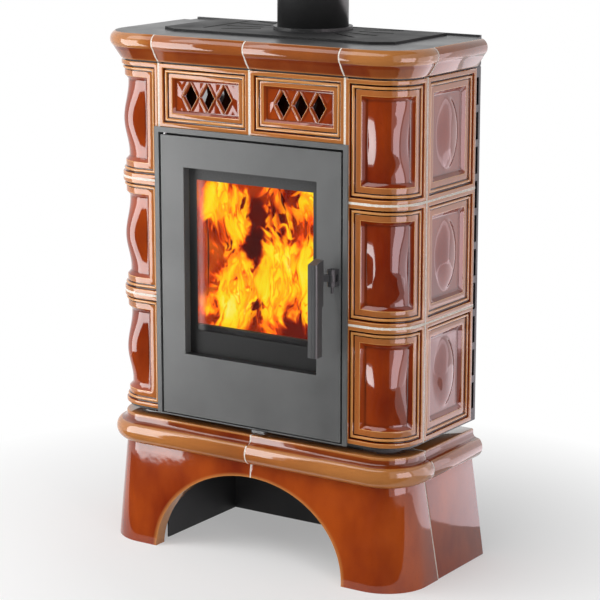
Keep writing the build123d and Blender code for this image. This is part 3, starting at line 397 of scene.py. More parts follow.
# ---- materials
class Shader:
    """A node material that is built node by node."""

    def __init__(self, name):
        self.material = bpy.data.materials.new(name)
        self.material.use_nodes = True
        self.tree = self.material.node_tree
        self.tree.nodes.clear()
        self.out = self.add("ShaderNodeOutputMaterial")
        self.coords = self.add("ShaderNodeTexCoord").outputs["Object"]

    def add(self, kind, **values):
        node = self.tree.nodes.new(kind)
        for key, value in values.items():
            setattr(node, key, value)
        return node

    def link(self, a, b):
        self.tree.links.new(a, b)

    def feed(self, socket, value):
        """Link a socket to another, or give it a number, a vector or a colour."""
        if hasattr(value, "links"):
            self.link(value, socket)
        elif hasattr(value, "__len__") and len(value) < len(socket.default_value):
            socket.default_value = (*value, 1)
        else:
            socket.default_value = value

    def show(self, shade):
        self.link(shade, self.out.inputs["Surface"])
        return self.material

    def principled(self, **values):
        node = self.add("ShaderNodeBsdfPrincipled")
        for key, value in values.items():
            node.inputs[key.replace("_", " ").title().replace("Ior", "IOR")].default_value = value
        self.show(node.outputs[0])
        return node

    def attribute(self, name):
        return self.add("ShaderNodeAttribute", attribute_name=name).outputs["Fac"]

    def noise(self, scale, detail=3.0, stretch=(1, 1, 1), rough=0.5, distortion=0.0, output="Fac"):
        mapping = self.add("ShaderNodeMapping")
        mapping.inputs["Scale"].default_value = stretch
        self.link(self.coords, mapping.inputs["Vector"])
        node = self.add("ShaderNodeTexNoise")
        values = {"Scale": scale, "Detail": detail, "Roughness": rough, "Distortion": distortion}
        for key, value in values.items():
            node.inputs[key].default_value = value
        self.link(mapping.outputs[0], node.inputs["Vector"])
        return node.outputs[output]

    def warp(self, scale, amount):
        """Stir the coordinates for the noises that follow."""
        stir = self.noise(scale, 2, output="Color")
        self.coords = self.vector("MULTIPLY_ADD", stir, (amount, amount, amount), self.coords)

    def ramp(self, fac, *stops):
        node = self.add("ShaderNodeValToRGB")
        elements = node.color_ramp.elements
        while len(elements) < len(stops):
            elements.new(0.5)
        for element, (position, colour) in zip(elements, stops):
            element.position = position
            element.color = (*colour, 1) if hasattr(colour, "__len__") else (colour, colour, colour, 1)
        self.link(fac, node.inputs["Fac"])
        return node.outputs["Color"]

    def mix(self, fac, a, b):
        node = self.add("ShaderNodeMix", data_type="RGBA")
        for socket, value in ((node.inputs[0], fac), (node.inputs[6], a), (node.inputs[7], b)):
            self.feed(socket, value)
        return node.outputs[2]

    def blend(self, fac, start, end, a, b):
        """Go from one colour to another while a factor runs from a start to an end."""
        return self.mix(self.ramp(fac, (start, 0.0), (end, 1.0)), a, b)

    def math(self, operation, *values):
        node = self.add("ShaderNodeMath", operation=operation)
        for socket, value in zip(node.inputs, values):
            self.feed(socket, value)
        return node.outputs[0]

    def vector(self, operation, *values, output="Vector"):
        node = self.add("ShaderNodeVectorMath", operation=operation)
        for socket, value in zip(node.inputs, values):
            self.feed(socket, value)
        return node.outputs[output]

    def axis(self, vector, name):
        split = self.add("ShaderNodeSeparateXYZ")
        self.link(vector, split.inputs[0])
        return split.outputs[name]

    def height(self, low, high):
        """How high a point lies between two levels, from 0 to 1."""
        share = self.add("ShaderNodeMapRange")
        share.inputs["From Min"].default_value = low
        share.inputs["From Max"].default_value = high
        self.link(self.axis(self.coords, "Z"), share.inputs["Value"])
        return share.outputs[0]

    def glow(self, colour, strength=1.0):
        node = self.add("ShaderNodeEmission")
        self.feed(node.inputs["Color"], colour)
        self.feed(node.inputs["Strength"], strength)
        return node.outputs[0]

    def bump(self, height, target, strength, distance):
        node = self.add("ShaderNodeBump")
        node.inputs["Strength"].default_value = strength
        node.inputs["Distance"].default_value = distance
        self.link(height, node.inputs["Height"])
        self.link(node.outputs[0], target.inputs["Normal"])


def once(make, name=None):
    """Make a material the first time that it is asked for, under its function's name if it has no other."""
    name = "look_" + (name or make.__name__.removesuffix("_material"))

    def get():
        return bpy.data.materials.get(name) or make(name, bpy.context.scene.stove_colours)

    return get


def glazed(name, colours, body, warm, thin_from=0.505, thin_to=0.54, thinned=0.6, lip=False):
    """Glossy glaze, dark in the grooves and thin over the ridges, and along the arch's lip if asked."""
    shader = Shader(name)
    surface = shader.principled(roughness=0.06, coat_weight=0.25, coat_roughness=0.02, ior=1.5)
    ridge = shader.attribute("ridge")
    tone = shader.blend(shader.noise(7, 4, (1, 1, 0.5)), 0.36, 0.66, body, warm)
    pooled = shader.mix(shader.ramp(ridge, (0.2, 1.0), (0.47, 0.0)), tone, colours.glaze_deep)
    thin = shader.mix(shader.ramp(ridge, (thin_from, 0.0), (thin_to, thinned)), pooled, colours.glaze_thin)
    if lip:
        sizes = bpy.context.scene.stove_sizes
        shares = (1 / sizes.arch_half_width, 0, 1 / sizes.arch_height)
        reach = shader.vector("LENGTH", shader.vector("MULTIPLY", shader.coords, shares), output="Value")
        line = shader.ramp(shader.math("DIVIDE", reach, 2.0), (0.50, 0.75), (0.52, 0.0))
        thin = shader.mix(line, thin, colours.glaze_thin)
    speckle = shader.ramp(shader.noise(420, 2), (0.62, 0.0), (0.8, 0.35))
    shader.link(shader.mix(speckle, thin, colours.glaze_deep), surface.inputs["Base Color"])
    shader.bump(shader.noise(26, 2), surface, 0.15, 0.002)
    return shader.material


@once
def glaze_material(name, colours):
    return glazed(name, colours, colours.glaze_body, colours.glaze_warm, 0.58, 0.82, 1.0)


@once
def smooth_glaze_material(name, colours):
    return glazed(name, colours, colours.smooth_body, colours.smooth_warm, lip=True)


@once
def moulding_glaze_material(name, colours):
    return glazed(name, colours, colours.moulding_body, colours.moulding_warm)


@once
def grout_material(name, colours):
    shader = Shader(name)
    surface = shader.principled(roughness=0.85)
    grain = shader.noise(300, 4)
    dark = [0.7 * c for c in colours.grout]
    shader.link(shader.blend(grain, 0.3, 0.7, dark, colours.grout), surface.inputs["Base Color"])
    shader.bump(grain, surface, 0.4, 0.0004)
    return shader.material


def window_shade(shader, tone):
    """Painted shade: darken the reveal round the window of the door."""
    low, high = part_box("door_glass")
    distance = shader.vector("ABSOLUTE", shader.vector("SUBTRACT", shader.coords, (low + high) / 2))
    beside = shader.math("LESS_THAN", shader.axis(distance, "X"), WINDOW_HALF_WIDTH)
    level = shader.math("LESS_THAN", shader.axis(distance, "Z"), WINDOW_HALF_HEIGHT)
    # The reveal is painted near black: painted shade in the window's recess.
    return shader.mix(shader.math("MULTIPLY", beside, level), tone, (0.020, 0.020, 0.020))


def painted(name, colour, roughness, scale=180, bump=0.2, metal=0.0, shade=None, shine=0.5):
    """A finish with faint patches and a grain, paler along its edges: partly wear, partly a painted
    highlight in place of rounded edges.
    """
    shader = Shader(name)
    surface = shader.principled(metallic=metal, specular_ior_level=shine)
    dark = [0.82 * c for c in colour]
    light = [1.15 * c for c in colour]
    pale = [min(1.0, 1.9 * c + 0.03) for c in colour]
    tone = shader.blend(shader.noise(7, 5), 0.3, 0.7, dark, light)
    # Paler edges: partly wear, partly a painted highlight that makes the edges look rounded.
    bevel = shader.add("ShaderNodeBevel", samples=4)
    bevel.inputs["Radius"].default_value = 0.0012
    normal = shader.add("ShaderNodeNewGeometry").outputs["Normal"]
    turn = shader.vector("DOT_PRODUCT", bevel.outputs[0], normal, output="Value")
    wear_and_highlight = shader.math("MULTIPLY", shader.ramp(turn, (0.80, 1.0), (0.97, 0.0)), 0.5)
    tone = shader.mix(wear_and_highlight, tone, pale)
    if shade:
        tone = shade(shader, tone)
    shader.link(tone, surface.inputs["Base Color"])
    rough = shader.ramp(shader.noise(14, 4), (0.3, roughness * 0.85), (0.7, min(1.0, roughness * 1.2)))
    shader.link(rough, surface.inputs["Roughness"])
    shader.bump(shader.noise(scale * 4, 3), surface, bump, 0.0003)
    return shader.material


def finish_of(name, colour, roughness, share=1.0, **finish):
    """A painted material in a colour, or in a share of one that the settings name."""

    def make(name, colours):
        full = getattr(colours, colour) if isinstance(colour, str) else colour
        return painted(name, [share * c for c in full], roughness, **finish)

    return once(make, name)


# The door paint carries painted shade in the reveal of the window.
door_paint_material = finish_of("door_paint", "door", 0.42, shade=window_shade)
top_paint_material = finish_of("top_paint", "top", 0.34, bump=0.1, shine=0.4)
iron_material = finish_of("iron", "iron", 0.55, share=0.4, scale=90, bump=0.5, shine=0.3)
flue_paint_material = finish_of("flue_paint", "iron", 0.36, share=0.9, bump=0.1)
casing_paint_material = finish_of("casing_paint", (0.045, 0.045, 0.048), 0.5)
grip_paint_material = finish_of("grip_paint", (0.075, 0.075, 0.077), 0.35)
soot_material = finish_of("soot", (0.02, 0.018, 0.016), 0.8, bump=0.5)
bare_steel_material = finish_of("bare_steel", (0.5, 0.5, 0.5), 0.3, metal=1.0)
firebrick_material = finish_of("firebrick", (0.20, 0.13, 0.08), 0.9, scale=60, bump=0.9)
rope_material = finish_of("rope", (0.30, 0.29, 0.27), 0.95, scale=300, bump=0.9)


@once
def glass_material(name, colours):
    shader = Shader(name)
    surface = shader.principled(roughness=0.0, transmission_weight=1.0, ior=1.2)
    haze = shader.noise(5, 4)
    shader.link(shader.ramp(haze, (0.3, 0.96), (0.7, 1.0)), surface.inputs["Base Color"])
    return shader.material


@once
def flame_material(name, colours):
    """Flames that are clear where they are cool, so that the sheets behind show through."""
    shader = Shader(name)
    base_level, tip_level = 0.45, 0.86
    rise = shader.height(base_level, tip_level)
    rise = shader.ramp(rise, (0.0, 0.24), (0.12, 0.34), (0.35, 0.45), (0.70, 0.44), (1.0, 0.37))
    shader.warp(4.5, 0.16)
    shader.warp(13, 0.035)
    broad = shader.math("SUBTRACT", shader.noise(7, 1.5, (1.6, 0.4, 0.8), 0.4), 0.5)
    fine = shader.math("SUBTRACT", shader.noise(21, 3, (1.4, 0.4, 0.75), 0.55, 1.0), 0.5)
    thread = shader.ramp(shader.math("ABSOLUTE", fine), (0.0, 1.0), (0.045, 0.25), (0.14, 0.0))
    cooling = shader.math("SUBTRACT", shader.attribute("fade"), 1.0)
    heat = rise
    for part, weight in ((broad, 1.9), (fine, 1.3), (thread, 0.11), (cooling, 0.5)):
        heat = shader.math("ADD", heat, shader.math("MULTIPLY", part, weight))
    colour = shader.ramp(
        heat,
        (0.30, (0.060, 0.002, 0.0)),
        (0.40, (0.24, 0.008, 0.001)),
        (0.45, (0.82, 0.11, 0.003)),
        (0.50, (1.0, 0.34, 0.005)),
        (0.56, (1.0, 0.60, 0.006)),
        (0.68, (1.0, 0.78, 0.02)),
        (0.88, (1.0, 0.90, 0.22)),
    )
    clear = shader.add("ShaderNodeBsdfTransparent")
    shader.link(shader.ramp(heat, (0.42, 1.0), (0.50, 0.0)), clear.inputs["Color"])
    both = shader.add("ShaderNodeAddShader")
    shader.link(clear.outputs[0], both.inputs[0])
    shader.link(shader.glow(colour, shader.ramp(heat, (0.34, 0.0), (0.41, 1.0))), both.inputs[1])
    return shader.show(both.outputs[0])


# Glowing fire colours for sheets at the firebox walls: painted firelight.
@once
def ember_glow_material(name, colours):
    shader = Shader(name)
    colour = shader.ramp(
        shader.noise(7, 4, (1.0, 1.0, 0.8), 0.5, distortion=1.2),
        (0.36, (0.045, 0.002, 0.001)),
        (0.50, (0.13, 0.005, 0.001)),
        (0.64, (0.42, 0.035, 0.002)),
        (0.74, (0.9, 0.22, 0.01)),
    )
    return shader.show(shader.glow(colour))


@once
def glass_print_material(name, colours):
    """Enamel print, with a painted reflection that makes it paler towards the top."""
    shader = Shader(name)
    surface = shader.principled(roughness=0.5, specular_ior_level=0.2)
    # Painted reflection: the enamel turns paler towards the top.
    shade = shader.ramp(shader.height(0.44, 0.86), (0.0, 0.016), (0.5, 0.026), (1.0, 0.070))
    specks = shader.ramp(shader.noise(350, 3), (0.35, 0.85), (0.7, 1.15))
    shader.link(shader.math("MULTIPLY", shade, specks), surface.inputs["Base Color"])
    return shader.material


# ---- operators
class STOVE_OT_corner_tiles(bpy.types.Operator):
    """Make the relief tiles that wrap the front corners"""

    bl_idname = "stove.corner_tiles"
    bl_label = "Corner tiles"

    def execute(self, context):
        sizes = context.scene.stove_sizes
        low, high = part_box("corner_tile_right_lower")
        radius = sizes.corner_radius
        front = TILE_RIGHT - radius - low.x
        turn = radius * pi / 2
        width = front + turn + high.y - TILE_FACE - radius
        height = high.z - low.z
        bm, margin = swelling_tile(sizes, width, height, step_across=0.0025, step_up=0.004)
        fullness = 1.3
        for v in field_verts(bm, width, height, margin):
            up = sin(pi * (v.co.z - margin) / (height - 2 * margin)) ** 2
            rise = min((min(v.co.x, width - v.co.x) - margin) / sizes.barrel_end, 1.0)
            v.co.y -= sizes.swell * up * (1 - (1 - rise) ** fullness)
        centre = Vector((TILE_RIGHT - radius, TILE_FACE + radius))
        for v in bm.verts:
            along, out = v.co.x, radius - v.co.y
            if along < front:
                v.co.x, v.co.y = low.x + along, TILE_FACE + v.co.y
            elif along > front + turn:
                v.co.x, v.co.y = centre.x + out, centre.y + along - front - turn
            else:
                angle = (along - front) / radius
                v.co.x, v.co.y = centre.x + out * sin(angle), centre.y - out * cos(angle)
        clean(bm)
        mark_ridges(bm)
        move(bm, (0, 0, low.z))
        finish_rows("corner", bm)
        return {"FINISHED"}


class STOVE_OT_side_tiles(bpy.types.Operator):
    """Make the relief tiles of the sides"""

    bl_idname = "stove.side_tiles"
    bl_label = "Side tiles"

    def execute(self, context):
        sizes = context.scene.stove_sizes
        low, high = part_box("side_tile_right_lower")
        width, height = high.y - low.y, high.z - low.z
        bm, margin = swelling_tile(sizes, width, height, step_across=0.0022, step_up=0.0035)
        for v in field_verts(bm, width, height, margin):
            across = (v.co.x - width / 2) / (sizes.almond_width / 2)
            up = (v.co.z - height / 2) / (sizes.almond_height / 2)
            away = sqrt(across**2 + up**2)
            sharp = max(1 - away**3, 0.0)
            soft = max(1 - away**2, 0.0) ** 2
            back = smooth_step(0.5 + across)
            v.co.y -= sizes.swell * (back * sharp + (1 - back) * soft)
        turn = Matrix.Translation((TILE_RIGHT, low.y, low.z)) @ Matrix.Rotation(radians(90), 4, "Z")
        bmesh.ops.transform(bm, matrix=turn, verts=bm.verts)
        clean(bm)
        mark_ridges(bm)
        finish_rows("side", bm)
        return {"FINISHED"}


class STOVE_OT_vent_tiles(bpy.types.Operator):
    """Make the tiles with diamond vents over the door"""

    bl_idname = "stove.vent_tiles"
    bl_label = "Vent tiles"

    def execute(self, context):
        sizes = context.scene.stove_sizes
        low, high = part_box("vent_tile_right")
        width, height = high.x - low.x, high.z - low.z
        profile = tile_profile(sizes, sizes.vent_band, sizes.vent_slope)
        margin = profile[-1][0]
        half_x, half_z = sizes.diamond_width / 2, sizes.diamond_height / 2
        pitch = sizes.diamond_pitch
        middles = [width / 2 + step * pitch for step in (-1, 0, 1)]
        bm = relief_slab(width, height, profile)

        def on_panel(face):
            middle = face.calc_center_median()
            inside = min(middle.x, width - middle.x, middle.z, height - middle.z) > margin
            return inside and abs(face.normal.y) > 0.9

        def cut_panel(point, normal, column=None):
            """Cut the panel's face, or only the stretch round one diamond."""
            faces = [f for f in bm.faces if on_panel(f)]
            if column is not None:
                faces = [f for f in faces if abs(f.calc_center_median().x - column) < pitch / 2]
            edges = dict.fromkeys(e for f in faces for e in f.edges)
            verts = dict.fromkeys(v for f in faces for v in f.verts)
            bmesh.ops.bisect_plane(
                bm, geom=[*verts, *edges, *faces], dist=TOUCHING, plane_co=point, plane_no=normal
            )

        def reach(x, z):
            """Distance from the nearest diamond's middle, 1 on its edge."""
            return min(abs(x - middle) / half_x for middle in middles) + abs(z - height / 2) / half_z

        rims = ((1.0, 0.0045), (1.2, 0.0), (1.27, -0.0016), (1.34, -0.0012), (1.6, 0.0015), (1.85, 0.0))
        levels = sorted([start for start, _ in rims] + [1.10, 1.42])
        for border in (-1.5, -0.5, 0.5, 1.5):
            cut_panel((width / 2 + border * pitch, 0, 0), (1, 0, 0))
        cut_panel((0, 0, height / 2), (0, 0, 1))
        for middle in middles:
            cut_panel((middle, 0, 0), (1, 0, 0), middle)
            for level, side_x, side_z in product(levels, (-1, 1), (-1, 1)):
                point = (middle + side_x * level * half_x, 0, height / 2)
                cut_panel(point, (side_x / half_x, 0, side_z / half_z), middle)
        inside = [f for f in bm.faces if on_panel(f) and reach(*f.calc_center_median().xz) < 1]
        bmesh.ops.delete(bm, geom=inside, context="FACES")
        for v in field_verts(bm, width, height, margin, clearance=1e-5):
            here = reach(v.co.x, v.co.z)
            for (start, low_y), (end, high_y) in zip(rims, rims[1:]):
                if start - 1e-4 <= here < end:
                    v.co.y += low_y + (high_y - low_y) * (here - start) / (end - start)
                    break
        for middle in middles:
            open_edges = [e for e in bm.edges if e.is_boundary]
            rim = [e for e in open_edges if abs(sum(v.co.x for v in e.verts) / 2 - middle) < pitch / 2]
            bmesh.ops.bridge_loops(bm, edges=rim)
        move(bm, (low.x, TILE_FACE, low.z))
        clean(bm)
        mark_ridges(bm)
        layer = bm.verts.layers.float["ridge"]
        # The walls deep in the diamond holes take the darkest glaze colour: painted shade in the holes.
        hole_shade, tile_edge, hole_depth = -0.9, 0.010, 0.030
        for v in bm.verts:
            level = abs(v.co.z - (low.z + high.z) / 2) < half_z + 0.001
            deep = v.co.y > TILE_FACE + hole_depth
            if level and deep and low.x + tile_edge < v.co.x < high.x - tile_edge:
                v[layer] = hole_shade
        finish_pair("vent_relief_*", "vent_tile_*", bm, glaze_material())
        return {"FINISHED"}


def draw_ledge(bm, x):
    """Section of the ledge: a round nose that runs back in a cove to an upright lip."""
    low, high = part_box("ledge_tile_front_right")
    back = TILE_FACE + 0.040
    nose_radius, nose_start, nose_turn = 0.0258, -106, -104
    nose_y, nose_z = TILE_FACE + 0.002, low.z + 0.025
    lip_y, lip_round = TILE_FACE - 0.001, 0.004
    start_y = nose_y + nose_radius * cos(radians(nose_start))
    start_z = nose_z + nose_radius * sin(radians(nose_start))
    pen = Pen(bm, x, start_y, start_z)
    pen.arc(nose_y, nose_z, nose_turn, 20)
    pen.curve((TILE_FACE - 0.0180, low.z + 0.0420), (TILE_FACE - 0.0145, low.z + 0.0435), 4)
    pen.curve((TILE_FACE - 0.0040, low.z + 0.0445), (TILE_FACE - 0.0012, low.z + 0.0515), 6)
    pen.line(lip_y, high.z - lip_round)
    pen.curve((lip_y, high.z), (lip_y + lip_round, high.z), 5)
    pen.line(back, high.z)
    pen.line(back, low.z)
    pen.line(start_y, low.z)
    pen.line(start_y, start_z)


def draw_cornice(bm, x):
    """Section of the cornice: a cove under a round nose that ends at the edge of the top plate."""
    low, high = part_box("cornice_tile_front_right")
    back = TILE_FACE + 0.038
    foot_y = TILE_FACE - 0.001
    edge_y = TILE_FACE - 0.012
    seat_z = high.z - 0.006
    nose_radius, nose_start, nose_turn = 0.0188, radians(180 + 47), -115
    nose_y = TILE_FACE - 0.005
    nose_z = high.z - sqrt(nose_radius**2 - (edge_y - nose_y) ** 2)
    under = (nose_y + nose_radius * cos(nose_start), nose_z + nose_radius * sin(nose_start))
    pen = Pen(bm, x, foot_y, low.z)
    pen.curve((foot_y - 0.0065, low.z + 0.0095), under, 8)
    pen.arc(nose_y, nose_z, nose_turn, 24)
    pen.line(edge_y, high.z - 0.0003)
    pen.line(edge_y, seat_z)
    pen.line(back, seat_z)
    pen.line(back, low.z)
    pen.line(foot_y, low.z)


class STOVE_OT_mouldings(bpy.types.Operator):
    """Make the ledge over the base and the cornice under the top"""

    bl_idname = "stove.mouldings"
    bl_label = "Ledge and cornice"

    def execute(self, context):
        radius = context.scene.stove_sizes.corner_radius
        ledge_low, ledge_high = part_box("ledge_tile_front_right")
        front_low, front_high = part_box("cornice_tile_front_right")
        corner_low, corner_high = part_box("cornice_tile_corner_right")
        runs = {
            ("ledge", "front"): front_run(draw_ledge, ledge_low.x, radius, end_y=ledge_high.y),
            ("ledge", "side"): side_run(draw_ledge, "ledge_tile_side_right"),
            ("cornice", "front"): front_run(draw_cornice, front_low.x, radius, end_x=front_high.x),
            ("cornice", "corner"): front_run(draw_cornice, corner_low.x, radius, end_y=corner_high.y),
            ("cornice", "side"): side_run(draw_cornice, "cornice_tile_side_right"),
        }
        glaze = moulding_glaze_material()
        for (kind, place), bm in runs.items():
            mark_ridges(bm, 1)
            for piece in finish_pair(f"{kind}_{place}_*", f"{kind}_tile_{place}_*", bm, glaze):
                round_edges(piece, 0.0015)
        return {"FINISHED"}


class STOVE_OT_base(bpy.types.Operator):
    """Make the flared base with its arched log store"""

    bl_idname = "stove.base"
    bl_label = "Base"

    def execute(self, context):
        sizes = context.scene.stove_sizes
        low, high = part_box("base_tile_front_right")
        side_low, side_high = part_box("base_tile_side_right")
        radius = sizes.corner_radius
        top = high.z
        inner = TILE_FACE + sizes.base_thickness

        def draw(bm, x):
            pen = Pen(bm, x, TILE_FACE, 0)
            pen.line(TILE_FACE, top)
            pen.line(inner, top)
            pen.line(inner, 0)
            pen.line(TILE_FACE, 0)

        spare, steps = 0.05, 44
        bm = front_run(draw, low.x, radius, end_y=side_high.y + spare)
        grid_cuts(bm, 2, 0, top, step=0.02)
        for i in range(1, steps + 1):
            cut(bm, (sizes.arch_half_width * sin(pi / 2 * i / steps), 0, 0), (1, 0, 0))
        for v in bm.verts:
            if v.co.x < sizes.arch_half_width and v.co.y < inner + 0.001:
                spring = sizes.arch_height * sqrt(max(1 - (v.co.x / sizes.arch_half_width) ** 2, 0))
                v.co.z = max(v.co.z, spring)
        bmesh.ops.dissolve_degenerate(bm, edges=bm.edges, dist=1e-5)
        clean(bm)
        centre = Vector((TILE_RIGHT - radius, TILE_FACE + radius))
        for v in bm.verts:
            out = sizes.flare * (1 - v.co.z / top)
            away = Vector((max(v.co.x - centre.x, 0), min(v.co.y - centre.y, 0)))
            if away.length > TOUCHING:
                away.normalize()
            v.co.x += out * away.x
            v.co.y += out * away.y
        joint_gap, joint_run = 0.003, 0.028
        joint = Vector((0, side_low.y, top))
        joint_normal = Vector((0, 1, joint_run / top)).normalized()
        front = bm.copy()
        cut(front, joint - joint_normal * joint_gap, joint_normal, clear=True)
        cut(bm, joint, -joint_normal, clear=True)
        back_top = Vector((0, side_high.y - sizes.flare, top))
        cut(bm, back_top, Vector((0, 1, sizes.flare / top)).normalized(), clear=True)
        glaze = smooth_glaze_material()
        for place, mesh in (("front", front), ("side", bm)):
            clean(mesh)
            layer = mesh.verts.layers.float.new("ridge")
            for v in mesh.verts:
                v[layer] = 0.5
            for piece in finish_pair(f"base_{place}_*", f"base_tile_{place}_*", mesh, glaze):
                round_edges(piece, 0.003, 4)
        return {"FINISHED"}


class STOVE_OT_flue(bpy.types.Operator):
    """Make the flue pipe with its bead"""

    bl_idname = "stove.flue"
    bl_label = "Flue pipe"

    def execute(self, context):
        low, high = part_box("flue_pipe")
        centre = (low + high) / 2
        bead_reach, bead_foot, bead_middle = 0.0005, 0.016, 0.0145
        wall = 0.001
        face = centre.y - ((high.x - low.x) / 2 - bead_reach)
        bm = bmesh.new()
        pen = Pen(bm, 0, face, low.z)
        pen.line(face, high.z - bead_foot)
        pen.arc(face + wall, high.z - bead_middle, -120, 6)
        pen.line(face, high.z)
        pen.line(face + wall, high.z)
        pen.line(face + wall, low.z)
        pen.line(face, low.z)
        edges = outline_edges(bm)
        bmesh.ops.spin(
            bm,
            geom=bm.verts[:] + edges,
            cent=(0, centre.y, 0),
            axis=(0, 0, 1),
            angle=2 * pi,
            steps=96,
            use_merge=True,
        )
        clean(bm)
        finish_piece("flue", bm, flue_paint_material(), nodes=("flue_pipe",))
        return {"FINISHED"}


class STOVE_OT_fire(bpy.types.Operator):
    """Make the fire behind the glass, with painted firelight on the back and side walls of the firebox"""

    bl_idname = "stove.fire"
    bl_label = "Fire"

    def execute(self, context):
        low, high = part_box("hearth_brick")
        bottom = high.z + 0.001
        side_fade, top_fade = 0.05, 0.07
        wave_depth, waves_across, waves_up = 0.006, 30, 17
        for name, behind, half, top, phase, make in (
            ("flames_front", 0.014, 0.190, 0.840, 0.0, flame_material),
            ("flames_middle", 0.034, 0.200, 0.860, 2.1, flame_material),
            ("flames_back", 0.064, 0.205, 0.865, 4.0, flame_material),
            # The last sheet glows at the back: painted firelight on the back of the firebox.
            ("fire_glow", 0.094, 0.206, FIRE_TOP, 5.0, ember_glow_material),
        ):
            middle = (0, low.y + behind, (top + bottom) / 2)
            bm = upright_sheet(half, (top - bottom) / 2, middle, segments=48)
            layer = bm.verts.layers.float.new("fade")
            for v in bm.verts:
                beside = smooth_step((half - abs(v.co.x)) / side_fade)
                v[layer] = min(beside, smooth_step((top - v.co.z) / top_fade))
                v.co.y += wave_depth * sin(v.co.x * waves_across + phase) * cos(v.co.z * waves_up + phase)
            finish_piece(name, bm, make())
        # Glowing sheets beside the side bricks: painted firelight on the firebox walls.
        front, back = low.y + 0.004, low.y + 0.098
        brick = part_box("firebrick_left")[1].x
        for side, name in ((1, "left"), (-1, "right")):
            middle = (side * (brick + 0.002), (front + back) / 2, (FIRE_TOP + bottom) / 2)
            bm = upright_sheet((back - front) / 2, (FIRE_TOP - bottom) / 2, middle, sideways=True)
            finish_piece(f"wall_glow_{name}", bm, ember_glow_material())
        return {"FINISHED"}


class STOVE_OT_glass_print(bpy.types.Operator):
    """Make the dark enamel border on the door glass"""

    bl_idname = "stove.glass_print"
    bl_label = "Glass border"

    def execute(self, context):
        low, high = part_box("door_glass")
        clear_edge, gap, thickness = 0.0134, 0.0006, 0.0004
        side_band, bottom_band, top_band = 0.020, 0.050, 0.026
        half_x = high.x - clear_edge
        half_z = (high.z - low.z) / 2 - clear_edge
        middle_z = (low.z + high.z) / 2
        bm = upright_sheet(half_x, half_z, (0, low.y - gap, middle_z))
        left, right = -half_x + side_band, half_x - side_band
        bottom, top = middle_z - half_z + bottom_band, middle_z + half_z - top_band
        for x in (left, right):
            cut(bm, (x, 0, 0), (1, 0, 0))
        for z in (bottom, top):
            cut(bm, (0, 0, z), (0, 0, 1))
        for face in bm.faces[:]:
            middle = face.calc_center_median()
            if left < middle.x < right and bottom < middle.z < top:
                bm.faces.remove(face)
        thick = bmesh.ops.extrude_face_region(bm, geom=bm.faces[:])["geom"]
        bmesh.ops.translate(bm, vec=(0, thickness, 0), verts=only(BMVert, thick))
        clean(bm)
        finish_piece("glass_border", bm, glass_print_material(), body="door", smooth=False)
        return {"FINISHED"}


class STOVE_OT_finishes(bpy.types.Operator):
    """Give the metalwork, the linings and the joints their finishes"""

    bl_idname = "stove.finishes"
    bl_label = "Finishes"

    def execute(self, context):
        finishes = {
            door_paint_material: ("door_panel", "door_frame"),
            top_paint_material: ("top_plate",),
            iron_material: ("top_grille", "grate", "log_retainer"),
            flue_paint_material: ("flue_collar",),
            casing_paint_material: (
                "stand", "rear_casing", "top_frame", "latch_catch",
                "handle_arm", "handle_bracket", "handle_pin",
            ),
            grip_paint_material: ("handle_grip",),
            soot_material: ("firebox", "air_deflector"),
            bare_steel_material: ("ash_pan", "air_slider", "hinge_pins", "glass_clips"),
            firebrick_material: (
                "firebrick_left", "firebrick_right", "firebrick_back", "hearth_brick", "baffle_plate"
            ),
            rope_material: ("door_seals",),
            glass_material: ("door_glass",),
            grout_material: ("base_grout", "body_grout", "cornice_grout"),
        }
        for make, nodes in finishes.items():
            for node in nodes:
                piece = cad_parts[node]
                piece.data.materials.clear()
                piece.data.materials.append(make())
        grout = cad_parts["body_grout"]
        grout.modifiers.new("Join the faces", "WELD").merge_threshold = 0.00001
        fill = grout.modifiers.new("Fill the joints", "DISPLACE")
        fill.strength = 0.0020
        fill.mid_level = 0
        return {"FINISHED"}


# ---- stage
def make_floor():
    """A white floor that keeps a shadow near the stove and runs out to white."""
    bm = bmesh.new()
    bmesh.ops.create_grid(bm, x_segments=1, y_segments=1, size=8)
    shader = Shader("floor_white")
    lit = shader.add("ShaderNodeBsdfDiffuse")
    lit.inputs["Color"].default_value = (0.86, 0.86, 0.86, 1)
    reach = shader.vector("LENGTH", shader.coords, output="Value")
    far = shader.ramp(shader.math("DIVIDE", reach, 2.0), (0.20, 0.35), (0.55, 1.0))
    path = shader.add("ShaderNodeLightPath").outputs
    seen = shader.math("MAXIMUM", path["Is Camera Ray"], path["Is Transmission Ray"])
    seen = shader.math("MAXIMUM", seen, path["Is Glossy Ray"])
    both = shader.add("ShaderNodeMixShader")
    shader.link(shader.math("MULTIPLY", seen, far), both.inputs[0])
    shader.link(lit.outputs[0], both.inputs[1])
    shader.link(shader.glow((1, 1, 1)), both.inputs[2])
    return new_object("floor", bm, shader.show(both.outputs[0]))


def make_curtain():
    """A dark curtain on the floor, before and over the stove, that only the glaze mirrors."""
    middle_x, middle_y, half_width, half_depth = 0.15, -0.98, 1.45, 0.77
    above_floor, rise, ceiling = 0.001, 2.75, 2.4
    bm = bmesh.new()
    bmesh.ops.create_grid(bm, x_segments=1, y_segments=1, size=1)
    bmesh.ops.scale(bm, vec=(half_width, half_depth, 1), verts=bm.verts)
    move(bm, (middle_x, middle_y, above_floor))
    far_edge = [e for e in bm.edges if max(v.co.y for v in e.verts) < middle_y]
    top_edge = sweep_straight(bm, far_edge, (0, 0, rise))
    sweep_straight(bm, top_edge, (0, ceiling, 0))
    shader = Shader("curtain_dark")
    folds = shader.ramp(shader.noise(3, 2), (0.3, 0.05), (0.7, 0.12))
    curtain = new_object("curtain", bm, shader.show(shader.glow(folds)))
    for ray in ("camera", "diffuse", "transmission", "shadow"):
        setattr(curtain, "visible_" + ray, False)
    return curtain


